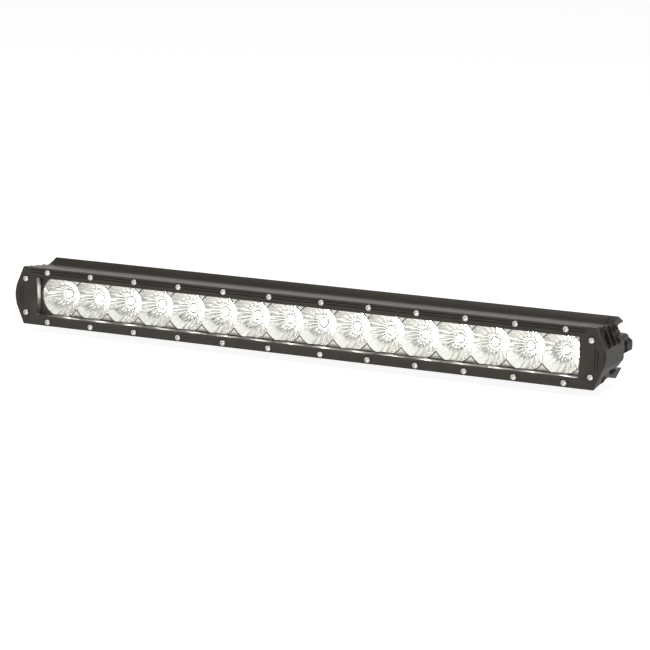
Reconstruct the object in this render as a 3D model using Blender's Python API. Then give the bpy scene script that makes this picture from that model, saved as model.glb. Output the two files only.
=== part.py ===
"""Single-row LED light bar on two sliding, tilting feet.

The bar is modelled in its own axes: X runs along it, Y = 0 is the front face of
the bezel with +Y towards the back, and Z = 0 is its mid-height.  An empty, BAR,
carries those axes into the world, where the feet stand on Z = 0 and the middle
of the whole object's box is over the origin.
"""
import math

import bmesh
import bpy

# Clearance left between pieces that touch on the real object, and the distance
# by which a cutting shape runs past the face that it cuts.
GAP = 0.0003
OVER = 0.0010

# Bezel: an elongated octagonal frame whose short ends bow outwards.
BAR_HALF = 0.2804
BAR_HALF_HEIGHT = 0.0262
CORNER_X = 0.2730
CORNER_Z = 0.0090
END_BOW = 0.0022
END_STEPS = 6
BEZEL_THICK = 0.0050
LIP_BACK = 0.0072
WINDOW_HALF = 0.2594
WINDOW_HALF_HEIGHT = 0.0176
WINDOW_CORNER = 0.0015
SCOOP_CENTRE = 0.2450
SCOOP_RADIUS = 0.0226
SCOOP_SLOPE = 4.3
SCOOP_CUT_DEPTH = 0.0030

# Bezel screws: two rows along the bar and two at each end.
SCREW_PITCH = 0.0445
SCREW_FIRST = 0.0250
SCREWS_PER_HALF_ROW = 6
SCREW_ROW_Z = 0.0226
SCREW_END_X = 0.2703
SCREW_END_Z = 0.01545
SCREW_HEAD_RADIUS = 0.0026
SCREW_HEAD_PROUD = 0.0009
SCREW_SEAT_RADIUS = 0.0031
SCREW_SEAT_DEPTH = 0.0009
SCREW_SHANK_RADIUS = 0.0015
SCREW_SOCKET_RADIUS = 0.0012
SCREW_SOCKET_DEPTH = 0.0010
SCREW_BACK = 0.0135

# Light cavity behind the bezel.
RECESS_HALF = 0.2643
RECESS_HALF_HEIGHT = 0.0208
RECESS_BACK = 0.0123
CAVITY_HALF = 0.2615
CAVITY_HALF_HEIGHT = 0.0175
CAVITY_BACK = 0.0279
CAVITY_CORNER = 0.0030
LENS_THICK = 0.0030
LED_COUNT = 16
LED_PITCH = 0.0320
CUP_RIM_RADIUS = 0.0189
CUP_THROAT_RADIUS = 0.0036
CUP_SECTIONS = (0.0, 0.35, 0.75)
REFLECTOR_BACK = 0.0256
BOARD_THICK = 0.0016
BOARD_HALF_HEIGHT = 0.0130
EMITTER_RADIUS = 0.0026
EMITTER_TIP_RADIUS = 0.0014
EMITTER_BASE = 0.0010
EMITTER_HEIGHT = 0.0022

# Housing extrusion: sloping top and bottom, a rolled-up ridge at the back edge of
# each, and a flat back between the ridges, where the mounting rails make a nose.
HOUSING_HALF = 0.2660
FLANK_FRONT_Z = 0.0258
VALLEY_Y = 0.0415
VALLEY_Z = 0.0218
RIDGE_APEX_Y = 0.0562
RIDGE_APEX_Z = 0.0265
RIDGE_CREST = ((0.0012, -0.0001), (0.0030, -0.0006), (0.0052, -0.0017))
RIDGE_TIP_Y = 0.0706
RIDGE_TIP_Z = 0.0202
NOSE_ROOT_Y = 0.0570
NOSE_ROOT_Z = 0.0180
NOSE_Y = 0.0666
NOSE_HALF_HEIGHT = 0.0100
CHAMBER_FRONT = 0.0330
CHAMBER_BACK = 0.0505
CHAMBER_HALF_HEIGHT = 0.0130
SEAL_MARGIN = 0.0022
FIN_SLOT_DEPTH = 0.0045
FIN_SLOT_TOPS = (0.0162, 0.0128)
FIN_SLOT_HEIGHT = 0.0015

# Mounting rails: an upper and a lower finned rail, each held by a hooked tongue in
# a groove of the housing; the T-channel for the slide blocks is between them.
RAIL_FRONT = 0.0532
RAIL_TONGUE_BACK = 0.0547
RAIL_TONGUE_NECK = 0.0078
RAIL_TONGUE_HALF = 0.0096
RAIL_SEAT = 0.0563
RAIL_TOP_Z = 0.0174
RAIL_SKIN = 0.0010
CHANNEL_MOUTH_HALF = 0.0042
CHANNEL_HALF = 0.0062
CHANNEL_LIP = 0.0625
CHANNEL_FLOOR = 0.0560

# Driver in the rear chamber: a board on four posts with three blocks and a coil.
DRIVER_STANDOFF = 0.0030
DRIVER_HALF = 0.0600
DRIVER_HALF_HEIGHT = 0.0110
DRIVER_PARTS = ((-0.044, 0.006, 0.009), (-0.022, 0.008, 0.006), (0.006, 0.010, 0.008))
DRIVER_PART_HALF_HEIGHT = 0.0070
COIL_X = 0.0360
COIL_RADIUS = 0.0055
COIL_HEIGHT = 0.0100
POST_X = 0.0540
POST_Z = 0.0080
POST_RADIUS = 0.0018
JOIN = 0.0004
WIRE_HOLE_X = 0.0400
WIRE_HOLE_RADIUS = 0.0030

# End caps.
CAP_INNER = HOUSING_HALF + GAP
CAP_PLATE = CORNER_X
CAP_BLOCK_BACK = 0.0540
CAP_RIBS_Y = (0.0115, 0.0230, 0.0345)
CAP_RIB_THICK = 0.0020
CAP_RIB_PROUD = 0.0004
CAP_ROOT = 0.0020
CAP_FLANGE_THICK = 0.0030
CAP_FLANGE_INSET = 0.0008
CAP_BLOCK_FLOOR_Z = -0.0134
CAP_BLOCK_EDGE_Z = 0.0070
CAP_BLOCK_TOP_Z = 0.0095
CAP_CORNER_BACK = 0.0240
CAP_SLOPE_FRONT_Y = 0.0400
CAP_SLOPE_LOW_Z = -0.0170
CAP_SLOPE_HIGH_Z = -0.0073
HOOD_FRONT = 0.0440
HOOD_UNDER = 0.0088
HOOD_TOP = 0.0113
HOOD_RADIUS = 0.0035
CAP_SCREWS = ((0.0170, 0.0204), (0.0470, 0.0181))
CAP_SCREW_HEAD_RADIUS = 0.0033
CAP_SCREW_HEAD_HEIGHT = 0.0019
CAP_SCREW_SEAT_RADIUS = 0.0038
CAP_SCREW_SOCKET_RADIUS = 0.0013
CAP_SCREW_SOCKET_DEPTH = 0.0012
CAP_SCREW_SHANK_RADIUS = 0.0020
CAP_SCREW_END = 0.2545
PORT_X = 0.2733
PORT_RADIUS = 0.0050
PORT_FRONT = 0.0430
PORT_RELIEF_HALF = 0.0087
SEAL_THICK = 0.0013
SEAL_RECESS = 0.0016
WIRE_WAY_FRONT = 0.0380
WIRE_WAY_BACK = 0.0480
WIRE_WAY_HALF = 0.0060
WIRE_WAY_END = 0.2770

# Cable gland in the right cap and vent plug in the left one.
FITTING_FRONT = 0.0460
FITTING_FLAT = 0.0070
COLLAR_RADIUS = 0.0062
GLAND_HEX_FRONT = 0.0615
GLAND_HEX_BACK = 0.0668
STEM_RADIUS = 0.0052
STEM_BACK = 0.0740
GLAND_BORE_RADIUS = 0.0033
NUT_HEX_BACK = 0.0755
NUT_DOME = ((0.0762, 0.0066), (0.0788, 0.0058), (0.0800, 0.0046))
NUT_THREAD_BACK = 0.0745
NUT_EXIT_RADIUS = 0.0036
VENT_HEX_HEIGHT = 0.0040
VENT_NECK_HEIGHT = 0.0052
VENT_CAP_HEIGHT = 0.0082
VENT_HEIGHT = 0.0094
VENT_CAP_RADIUS = 0.0068
VENT_TOP_RADIUS = 0.0056

# Mounting feet.
FOOT_X = 0.1800
PIVOT_Y = 0.0780
PIVOT_RADIUS = 0.0030
SLIDER_HALF = 0.0150
SLIDER_FLANGE_HALF = 0.0080
SLIDER_CLEARANCE = 0.0008
LUG_HALF = 0.0050
LUG_RADIUS = 0.0070
CHEEK_THICK = 0.0030
CHEEK_RADIUS = 0.0080
CHEEK_FRONT = -0.0015
CHEEK_FRONT_Z = -0.0170
CHEEK_BACK = 0.0120
CHEEK_BACK_Z = -0.0150
FOOT_CORNER = 0.0050
FOOT_HALF = 0.0240
FOOT_FRONT = 0.0360
FOOT_BACK = 0.0930
FOOT_THICK = 0.0030
FOOT_UNDERSIDE = -0.0340
SLOT_X = 0.0155
SLOT_Y = 0.0835
SLOT_RADIUS = 0.0043
SLOT_HALF_TRAVEL = 0.0035
BOLT_FLANGE_RADIUS = 0.0062
BOLT_FLANGE_THICK = 0.0012
BOLT_FLAT = 0.0050
BOLT_END_FLAT = 0.0049
BOLT_HEAD_HEIGHT = 0.0052
BOLT_TAIL = 0.0075
NUT_HEIGHT = 0.0055

FRONT_Y = -(FOOT_BACK - SCREW_HEAD_PROUD) / 2
MID_Z = -FOOT_UNDERSIDE

FINISHES = {
    "black_coat": ((0.035, 0.034, 0.032), 0.30, 0.45),
    "stainless": ((0.72, 0.71, 0.69), 1.00, 0.25),
    "black_steel": ((0.030, 0.030, 0.031), 0.60, 0.40),
    "clear_lens": ((0.92, 0.94, 0.95), 0.00, 0.03),
    "chrome": ((0.88, 0.88, 0.87), 1.00, 0.06),
    "circuit_board": ((0.82, 0.83, 0.80), 0.00, 0.40),
    "driver_green": ((0.03, 0.16, 0.07), 0.00, 0.45),
    "seal_rubber": ((0.020, 0.020, 0.021), 0.00, 0.80),
    "black_nylon": ((0.025, 0.025, 0.026), 0.00, 0.50),
}


def clear_scene():
    for item in list(bpy.data.objects):
        bpy.data.objects.remove(item, do_unlink=True)


def finish(slot):
    """The named Principled material, made once."""
    found = bpy.data.materials.get(slot)
    if found:
        return found
    colour, metallic, roughness = FINISHES[slot]
    made = bpy.data.materials.new(slot)
    made.use_nodes = True
    shader = made.node_tree.nodes["Principled BSDF"]
    shader.inputs["Base Color"].default_value = (*colour, 1.0)
    shader.inputs["Metallic"].default_value = metallic
    shader.inputs["Roughness"].default_value = roughness
    return made


def empty(name, location, parent=None):
    made = bpy.data.objects.new(name, None)
    made.location = location
    made.parent = parent
    bpy.context.scene.collection.objects.link(made)
    return made


def add_object(name, mesh, parent, slot=None):
    """Link a mesh object; without a finish slot it is a cutter or a guide."""
    made = bpy.data.objects.new(name, mesh)
    made.parent = parent
    bpy.context.scene.collection.objects.link(made)
    if slot:
        mesh.materials.append(finish(slot))
    else:
        made.hide_render = True
        made.display_type = "WIRE"
    return made


def to_mesh(name, shape, smooth=False):
    bmesh.ops.recalc_face_normals(shape, faces=shape.faces)
    mesh = bpy.data.meshes.new(name)
    shape.to_mesh(mesh)
    shape.free()
    if smooth:
        mesh.shade_smooth()
        mesh.set_sharp_from_angle(angle=math.radians(35))
    return mesh


def at(axis, along, u, v):
    """A point from its distance along an axis and its two other coordinates."""
    if axis == "X":
        return (along, u, v)
    if axis == "Y":
        return (u, along, v)
    return (u, v, along)


def add_prism(shape, axis, outline, low, high):
    """Extrude a flat outline along an axis, as one closed body in the shape."""
    lower = [shape.verts.new(at(axis, low, u, v)) for u, v in outline]
    upper = [shape.verts.new(at(axis, high, u, v)) for u, v in outline]
    shape.faces.new(lower)
    shape.faces.new(reversed(upper))
    for index, vertex in enumerate(lower):
        after = (index + 1) % len(lower)
        shape.faces.new((vertex, upper[index], upper[after], lower[after]))


def prism(name, axis, outline, low, high):
    shape = bmesh.new()
    add_prism(shape, axis, outline, low, high)
    return to_mesh(name, shape)


def rectangle(u_low, u_high, v_low, v_high):
    return [(u_low, v_low), (u_high, v_low), (u_high, v_high), (u_low, v_high)]


def arc(u, v, radius, start, end, steps):
    """Points on an arc, both ends included, angles in degrees."""
    points = []
    for step in range(steps + 1):
        angle = math.radians(start + (end - start) * step / steps)
        points.append((u + radius * math.cos(angle), v + radius * math.sin(angle)))
    return points


def rounded_rectangle(half_u, half_v, radius, steps):
    outline = []
    for sign_u, sign_v, start in ((1, 1, 0), (-1, 1, 90), (-1, -1, 180), (1, -1, 270)):
        centre_u = sign_u * (half_u - radius)
        centre_v = sign_v * (half_v - radius)
        outline += arc(centre_u, centre_v, radius, start, start + 90, steps)
    return outline


def slot_outline(u, v, half_travel, radius, steps):
    """An outline with two straight sides along v and round ends."""
    upper = arc(u, v + half_travel, radius, 0, 180, steps)
    return upper + arc(u, v - half_travel, radius, 180, 360, steps)


def hex_radius(angle, flat_radius):
    """Distance from the centre of a hexagon to its side, flats facing +u and -u."""
    turned = (angle + math.pi / 6) % (math.pi / 3) - math.pi / 6
    return flat_radius / math.cos(turned)


def add_turned(shape, axis, centre, stations, sides=12):
    """Stack rings along an axis; a station is (along, radius, is_hexagon)."""
    rings = []
    for along, radius, is_hexagon in stations:
        ring = []
        for side in range(sides):
            angle = 2 * math.pi * side / sides
            reach = hex_radius(angle, radius) if is_hexagon else radius
            u = centre[0] + reach * math.cos(angle)
            v = centre[1] + reach * math.sin(angle)
            ring.append(shape.verts.new(at(axis, along, u, v)))
        rings.append(ring)
    for first, second in zip(rings, rings[1:]):
        for side in range(sides):
            after = (side + 1) % sides
            shape.faces.new((first[side], first[after], second[after], second[side]))
    shape.faces.new(rings[0])
    shape.faces.new(rings[-1])


def turned(name, axis, centre, stations, sides=12):
    shape = bmesh.new()
    add_turned(shape, axis, centre, stations, sides)
    return to_mesh(name, shape, smooth=True)


def rounds(name, axis, centres, radius, low, high, sides=8):
    """Several equal cylinders in one mesh, used to drill a row of holes."""
    shape = bmesh.new()
    for centre in centres:
        add_turned(shape, axis, centre, [(low, radius, False), (high, radius, False)], sides)
    return to_mesh(name, shape)


def combine(target, mesh, operation):
    tool = add_object(f"{target.name}_{mesh.name}_tool", mesh, target.parent)
    step = target.modifiers.new(mesh.name, "BOOLEAN")
    step.operation = operation
    step.solver = "EXACT"
    step.object = tool


def cut(target, mesh):
    combine(target, mesh, "DIFFERENCE")


def unite(target, mesh):
    combine(target, mesh, "UNION")


def flank_z(y):
    """Half-height of the housing where its sloping flank is y behind the front."""
    slope = (VALLEY_Z - FLANK_FRONT_Z) / (VALLEY_Y - BEZEL_THICK)
    return FLANK_FRONT_Z + slope * (y - BEZEL_THICK)


def bezel_outline():
    """The bezel's outline in X and Z."""
    half = [(CORNER_X, -BAR_HALF_HEIGHT)]
    for step in range(END_STEPS + 1):
        part = 2 * step / END_STEPS - 1
        half.append((BAR_HALF + END_BOW * (1 - part ** 2), CORNER_Z * part))
    half.append((CORNER_X, BAR_HALF_HEIGHT))
    return half + [(-x, -z) for x, z in half]


def flank_profile():
    """Upper half of the outline from the front edge to under the ridge, in Y and Z."""
    front = BEZEL_THICK + GAP
    edge = 0.0006
    points = [(front, flank_z(front) - edge), (front + edge, flank_z(front))]
    steps = 5
    for step in range(steps + 1):
        part = step / steps
        y = VALLEY_Y + (RIDGE_APEX_Y - VALLEY_Y) * part
        z = VALLEY_Z + (RIDGE_APEX_Z - VALLEY_Z) * part ** 1.6
        points.append((y, z))
    points += [(RIDGE_APEX_Y + y, RIDGE_APEX_Z + z) for y, z in RIDGE_CREST]
    points += [(RIDGE_TIP_Y - edge, RIDGE_TIP_Z + edge), (RIDGE_TIP_Y, RIDGE_TIP_Z)]
    points += [(RIDGE_TIP_Y - edge, RIDGE_TIP_Z - edge)]
    points += [(NOSE_ROOT_Y + 2 * edge, NOSE_ROOT_Z + 2 * edge), (NOSE_ROOT_Y, NOSE_ROOT_Z)]
    return points


def nose_slope_y(z):
    """Where the sloping side of the nose is at height z."""
    part = (NOSE_ROOT_Z - z) / (NOSE_ROOT_Z - NOSE_HALF_HEIGHT)
    return NOSE_ROOT_Y + (NOSE_Y - NOSE_ROOT_Y) * part


def whole_outline(upper):
    """Mirror an upper half outline about Z = 0."""
    return upper + [(y, -z) for y, z in reversed(upper)]


def housing_outline():
    upper = flank_profile()
    upper[-1] = (CHANNEL_FLOOR, NOSE_ROOT_Z)
    neck = RAIL_TONGUE_NECK + GAP
    groove = RAIL_TONGUE_HALF + GAP
    hook = RAIL_TONGUE_BACK + GAP
    land = CHANNEL_HALF - GAP
    upper += [(CHANNEL_FLOOR, neck), (hook, neck), (hook, groove), (RAIL_FRONT - GAP, groove)]
    upper += [(RAIL_FRONT - GAP, land), (CHANNEL_FLOOR, land)]
    return whole_outline(upper)


def rail_outline(row):
    """The upper rail's section in Y and Z, or the lower one's for row -1."""
    outline = [(RAIL_FRONT, RAIL_TONGUE_HALF), (RAIL_TONGUE_BACK, RAIL_TONGUE_HALF)]
    outline += [(RAIL_TONGUE_BACK, RAIL_TONGUE_NECK), (RAIL_SEAT, RAIL_TONGUE_NECK)]
    outline += [(RAIL_SEAT, RAIL_TOP_Z), (nose_slope_y(RAIL_TOP_Z), RAIL_TOP_Z)]
    for top in FIN_SLOT_TOPS:
        bottom = top - FIN_SLOT_HEIGHT
        floor = max(nose_slope_y(top) - FIN_SLOT_DEPTH, RAIL_SEAT + RAIL_SKIN)
        outline += [(nose_slope_y(top), top), (floor, top)]
        outline += [(floor, bottom), (nose_slope_y(bottom), bottom)]
    outline += [(NOSE_Y, NOSE_HALF_HEIGHT), (NOSE_Y, CHANNEL_MOUTH_HALF)]
    outline += [(CHANNEL_LIP, CHANNEL_MOUTH_HALF), (CHANNEL_LIP, CHANNEL_HALF)]
    outline += [(RAIL_FRONT, CHANNEL_HALF)]
    return [(y, row * z) for y, z in outline]


def screw_row_centres():
    """Bezel screws over the housing, in X and Z."""
    centres = []
    for row in (1, -1):
        for side in (-1, 1):
            for index in range(SCREWS_PER_HALF_ROW):
                x = side * (SCREW_FIRST + index * SCREW_PITCH)
                centres.append((x, row * SCREW_ROW_Z))
    return sorted(centres, key=lambda centre: (-centre[1], centre[0]))


def screw_end_centres(sides=(-1, 1)):
    return [(side * SCREW_END_X, row * SCREW_END_Z) for side in sides for row in (1, -1)]


def led_centres():
    return [((index - (LED_COUNT - 1) / 2) * LED_PITCH, 0.0) for index in range(LED_COUNT)]


def make_bezel(bar):
    mesh = prism("bezel", "Y", bezel_outline(), 0.0, BEZEL_THICK)
    bezel = add_object("bezel", mesh, bar, "black_coat")
    lip_half = RECESS_HALF - GAP
    lip_height = RECESS_HALF_HEIGHT - GAP
    lip = rectangle(-lip_half, lip_half, -lip_height, lip_height)
    unite(bezel, prism("lip", "Y", lip, BEZEL_THICK - OVER, LIP_BACK))
    window = rounded_rectangle(WINDOW_HALF, WINDOW_HALF_HEIGHT, WINDOW_CORNER, 2)
    cut(bezel, prism("window", "Y", window, -2 * OVER, LIP_BACK + 2 * OVER))
    # Shallow conical dishes beyond the window's ends.
    scoop = bmesh.new()
    for side in (-1, 1):
        stations = []
        for y in (-OVER, SCOOP_CUT_DEPTH):
            stations.append((y, SCOOP_RADIUS - SCOOP_SLOPE * y, False))
        add_turned(scoop, "Y", (side * SCOOP_CENTRE, 0.0), stations, 48)
    cut(bezel, to_mesh("scoops", scoop))
    centres = screw_row_centres() + screw_end_centres()
    cut(bezel, rounds("seats", "Y", centres, SCREW_SEAT_RADIUS, -OVER, SCREW_SEAT_DEPTH, 10))
    bore = SCREW_SHANK_RADIUS + GAP
    cut(bezel, rounds("bores", "Y", centres, bore, -OVER, BEZEL_THICK + OVER))


def make_bezel_screws(bar):
    """A flat-headed socket screw; every one shares this mesh."""
    head_back = SCREW_SEAT_DEPTH - GAP
    stations = [
        (SCREW_SOCKET_DEPTH - SCREW_HEAD_PROUD, SCREW_SOCKET_RADIUS, True),
        (-SCREW_HEAD_PROUD, SCREW_SOCKET_RADIUS, True),
        (-SCREW_HEAD_PROUD, SCREW_HEAD_RADIUS, False),
        (head_back, SCREW_HEAD_RADIUS, False),
        (head_back, SCREW_SHANK_RADIUS, False),
        (SCREW_BACK, SCREW_SHANK_RADIUS, False),
    ]
    mesh = turned("bezel_screw", "Y", (0.0, 0.0), stations)
    mesh.materials.append(finish("stainless"))
    for number, (x, z) in enumerate(screw_row_centres() + screw_end_centres(), 1):
        screw = bpy.data.objects.new(f"bezel_screw_{number:02d}", mesh)
        screw.location = (x, 0.0, z)
        screw.parent = bar
        bpy.context.scene.collection.objects.link(screw)


def make_housing(bar):
    mesh = prism("housing", "X", housing_outline(), -HOUSING_HALF, HOUSING_HALF)
    housing = add_object("housing", mesh, bar, "black_coat")
    recess = rectangle(-RECESS_HALF, RECESS_HALF, -RECESS_HALF_HEIGHT, RECESS_HALF_HEIGHT)
    cut(housing, prism("recess", "Y", recess, 0.0, RECESS_BACK))
    cavity = rounded_rectangle(CAVITY_HALF, CAVITY_HALF_HEIGHT, CAVITY_CORNER, 2)
    cut(housing, prism("cavity", "Y", cavity, RECESS_BACK - OVER, CAVITY_BACK))
    far = HOUSING_HALF + OVER
    cut(housing, prism("chamber", "X", seal_outline(0.0), -far, far))
    bore = SCREW_SHANK_RADIUS + GAP
    cut(housing, rounds("threads", "Y", screw_row_centres(), bore, 0.0, SCREW_BACK + OVER))
    ends = bmesh.new()
    for side in (-1, 1):
        for y, z in CAP_SCREWS:
            for row in (-1, 1):
                radius = CAP_SCREW_SHANK_RADIUS + GAP
                stations = [
                    (side * (CAP_SCREW_END - OVER), radius, False),
                    (side * far, radius, False),
                ]
                add_turned(ends, "X", (y, row * z), stations, 8)
    cut(housing, to_mesh("cap_threads", ends))
    start, end = CAVITY_BACK - OVER, CHAMBER_FRONT + OVER
    cut(housing, rounds("wire_way", "Y", [(WIRE_HOLE_X, 0.0)], WIRE_HOLE_RADIUS, start, end))


def make_mounting_rails(bar):
    for label, row in (("upper", 1), ("lower", -1)):
        name = f"mounting_rail_{label}"
        mesh = prism(name, "X", rail_outline(row), -HOUSING_HALF, HOUSING_HALF)
        add_object(name, mesh, bar, "black_coat")


def make_lens(bar):
    half = RECESS_HALF - GAP
    high = RECESS_HALF_HEIGHT - GAP
    front = LIP_BACK + GAP
    mesh = prism("lens", "Y", rounded_rectangle(half, high, 0.0005, 1), front, front + LENS_THICK)
    add_object("lens", mesh, bar, "clear_lens")


def make_lens_gasket(bar):
    half = RECESS_HALF - GAP
    high = RECESS_HALF_HEIGHT - GAP
    front = LIP_BACK + LENS_THICK + 2 * GAP
    mesh = prism("lens_gasket", "Y", rectangle(-half, half, -high, high), front, RECESS_BACK - GAP)
    gasket = add_object("lens_gasket", mesh, bar, "seal_rubber")
    inner = rounded_rectangle(CAVITY_HALF + GAP, CAVITY_HALF_HEIGHT + GAP, CAVITY_CORNER, 2)
    cut(gasket, prism("opening", "Y", inner, 0.0, CAVITY_BACK))


def make_reflector(bar):
    half = CAVITY_HALF - GAP
    high = CAVITY_HALF_HEIGHT - GAP
    front = LIP_BACK + LENS_THICK + 2 * GAP
    outline = rounded_rectangle(half, high, CAVITY_CORNER, 2)
    mesh = prism("reflector_array", "Y", outline, front, REFLECTOR_BACK)
    array = add_object("reflector_array", mesh, bar, "chrome")
    # Neighbouring cups overlap, so every second cup is cut in a second pass.
    depth = REFLECTOR_BACK - front
    reach = CUP_RIM_RADIUS - CUP_THROAT_RADIUS
    for first, name in enumerate(("odd_cups", "even_cups")):
        cups = bmesh.new()
        for centre in led_centres()[first::2]:
            stations = [(front - OVER, CUP_RIM_RADIUS, False)]
            for part in CUP_SECTIONS:
                radius = CUP_THROAT_RADIUS + reach * math.sqrt(1 - part)
                stations.append((front + depth * part + GAP, radius, False))
            stations.append((REFLECTOR_BACK + OVER, CUP_THROAT_RADIUS, False))
            add_turned(cups, "Y", centre, stations, 16)
        cut(array, to_mesh(name, cups))


def make_led_board(bar):
    back = CAVITY_BACK - GAP
    front = back - BOARD_THICK
    half = CAVITY_HALF - 2 * GAP
    outline = rectangle(-half, half, -BOARD_HALF_HEIGHT, BOARD_HALF_HEIGHT)
    mesh = prism("led_board", "Y", outline, front, back)
    board = add_object("led_board", mesh, bar, "circuit_board")
    emitters = bmesh.new()
    for centre in led_centres():
        stations = [
            (front + JOIN, EMITTER_RADIUS, False),
            (front - EMITTER_BASE, EMITTER_RADIUS, False),
            (front - EMITTER_HEIGHT, EMITTER_TIP_RADIUS, False),
        ]
        add_turned(emitters, "Y", centre, stations, 8)
    unite(board, to_mesh("emitters", emitters))


def make_driver_board(bar):
    front = CHAMBER_FRONT + DRIVER_STANDOFF
    back = front + BOARD_THICK
    outline = rectangle(-DRIVER_HALF, DRIVER_HALF, -DRIVER_HALF_HEIGHT, DRIVER_HALF_HEIGHT)
    mesh = prism("driver_board", "Y", outline, front, back)
    driver = add_object("driver_board", mesh, bar, "driver_green")
    parts = bmesh.new()
    for x, half, tall in DRIVER_PARTS:
        outline = rectangle(x - half, x + half, -DRIVER_PART_HALF_HEIGHT, DRIVER_PART_HALF_HEIGHT)
        add_prism(parts, "Y", outline, back - JOIN, back + tall)
    coil = [(back - JOIN, COIL_RADIUS, False), (back + COIL_HEIGHT, COIL_RADIUS, False)]
    add_turned(parts, "Y", (COIL_X, 0.0), coil, 12)
    for x in (-POST_X, POST_X):
        for z in (-POST_Z, POST_Z):
            post = [(CHAMBER_FRONT + GAP, POST_RADIUS, False), (front + JOIN, POST_RADIUS, False)]
            add_turned(parts, "Y", (x, z), post, 8)
    unite(driver, to_mesh("components", parts))


def seal_outline(margin):
    """The driver chamber's section in Y and Z, grown by a margin."""
    high = CHAMBER_HALF_HEIGHT + margin
    return rectangle(CHAMBER_FRONT - margin, CHAMBER_BACK + margin, -high, high)


def cap_outline():
    """The cap plate follows the housing, cut back behind the port."""
    upper = flank_profile()
    upper += [(NOSE_Y, NOSE_HALF_HEIGHT), (NOSE_Y, PORT_RELIEF_HALF)]
    upper += [(CAP_BLOCK_BACK, PORT_RELIEF_HALF)]
    return whole_outline(upper)


def mirrored(outline, side):
    return [(side * u, v) for u, v in outline]


def cap_corner_x(z):
    """Where the bezel's slanted corner, carried back along the cap, is at height z."""
    slope = (BAR_HALF - CAP_PLATE) / (BAR_HALF_HEIGHT - CORNER_Z)
    return BAR_HALF - slope * (abs(z) - CORNER_Z)


def add_cap_corner(cap, side):
    """Side block with the flat outer face, front flange and solid lower corner."""
    front = BEZEL_THICK + GAP
    root = CAP_PLATE - CAP_ROOT
    block = [(root, CAP_BLOCK_FLOOR_Z), (cap_corner_x(CAP_BLOCK_FLOOR_Z), CAP_BLOCK_FLOOR_Z)]
    block += [(BAR_HALF, -CORNER_Z), (BAR_HALF, CAP_BLOCK_EDGE_Z), (CAP_PLATE, CAP_BLOCK_TOP_Z)]
    block += [(root, CAP_BLOCK_TOP_Z)]
    unite(cap, prism("side_block", "Y", mirrored(block, side), front + GAP, CAP_BLOCK_BACK))

    high = BAR_HALF_HEIGHT - CAP_FLANGE_INSET
    flange = [(root, -high), (CAP_PLATE, -high), (BAR_HALF, -CORNER_Z)]
    flange += [(BAR_HALF, CORNER_Z), (CAP_PLATE, high), (root, high)]
    unite(cap, prism("flange", "Y", mirrored(flange, side), front, front + CAP_FLANGE_THICK))

    low = -flank_z(CAP_CORNER_BACK)
    corner = [(root, low), (cap_corner_x(low), low), (BAR_HALF - JOIN, -CORNER_Z), (root, -CORNER_Z)]
    corner_front = front + CAP_FLANGE_THICK / 2
    unite(cap, prism("lower_corner", "Y", mirrored(corner, side), corner_front, CAP_CORNER_BACK))


def add_cap_ribs(cap, side):
    """Ribs across the recessed upper corner."""
    root = CAP_PLATE - CAP_ROOT
    ribs = bmesh.new()
    for y in CAP_RIBS_Y:
        top = flank_z(y) + CAP_RIB_PROUD
        rib = [(root, CAP_BLOCK_EDGE_Z - CAP_ROOT), (BAR_HALF - JOIN, CAP_BLOCK_EDGE_Z - CAP_ROOT)]
        rib += [(BAR_HALF - JOIN, CORNER_Z), (cap_corner_x(top) - JOIN, top), (root, top)]
        add_prism(ribs, "Y", mirrored(rib, side), y - CAP_RIB_THICK / 2, y + CAP_RIB_THICK / 2)
    unite(cap, to_mesh("ribs", ribs))


def add_cap_hood(cap, side):
    """Hood over the port at the back."""
    start = CAP_INNER + JOIN
    side_x = BAR_HALF - GAP
    hood = [(start, HOOD_UNDER), (PORT_X + CAP_ROOT, HOOD_UNDER), (side_x, CAP_BLOCK_EDGE_Z)]
    hood += arc(side_x - HOOD_RADIUS, HOOD_TOP - HOOD_RADIUS, HOOD_RADIUS, 0, 90, 4)
    hood += [(start, HOOD_TOP)]
    unite(cap, prism("hood", "Y", mirrored(hood, side), HOOD_FRONT, NOSE_Y - JOIN))


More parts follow.
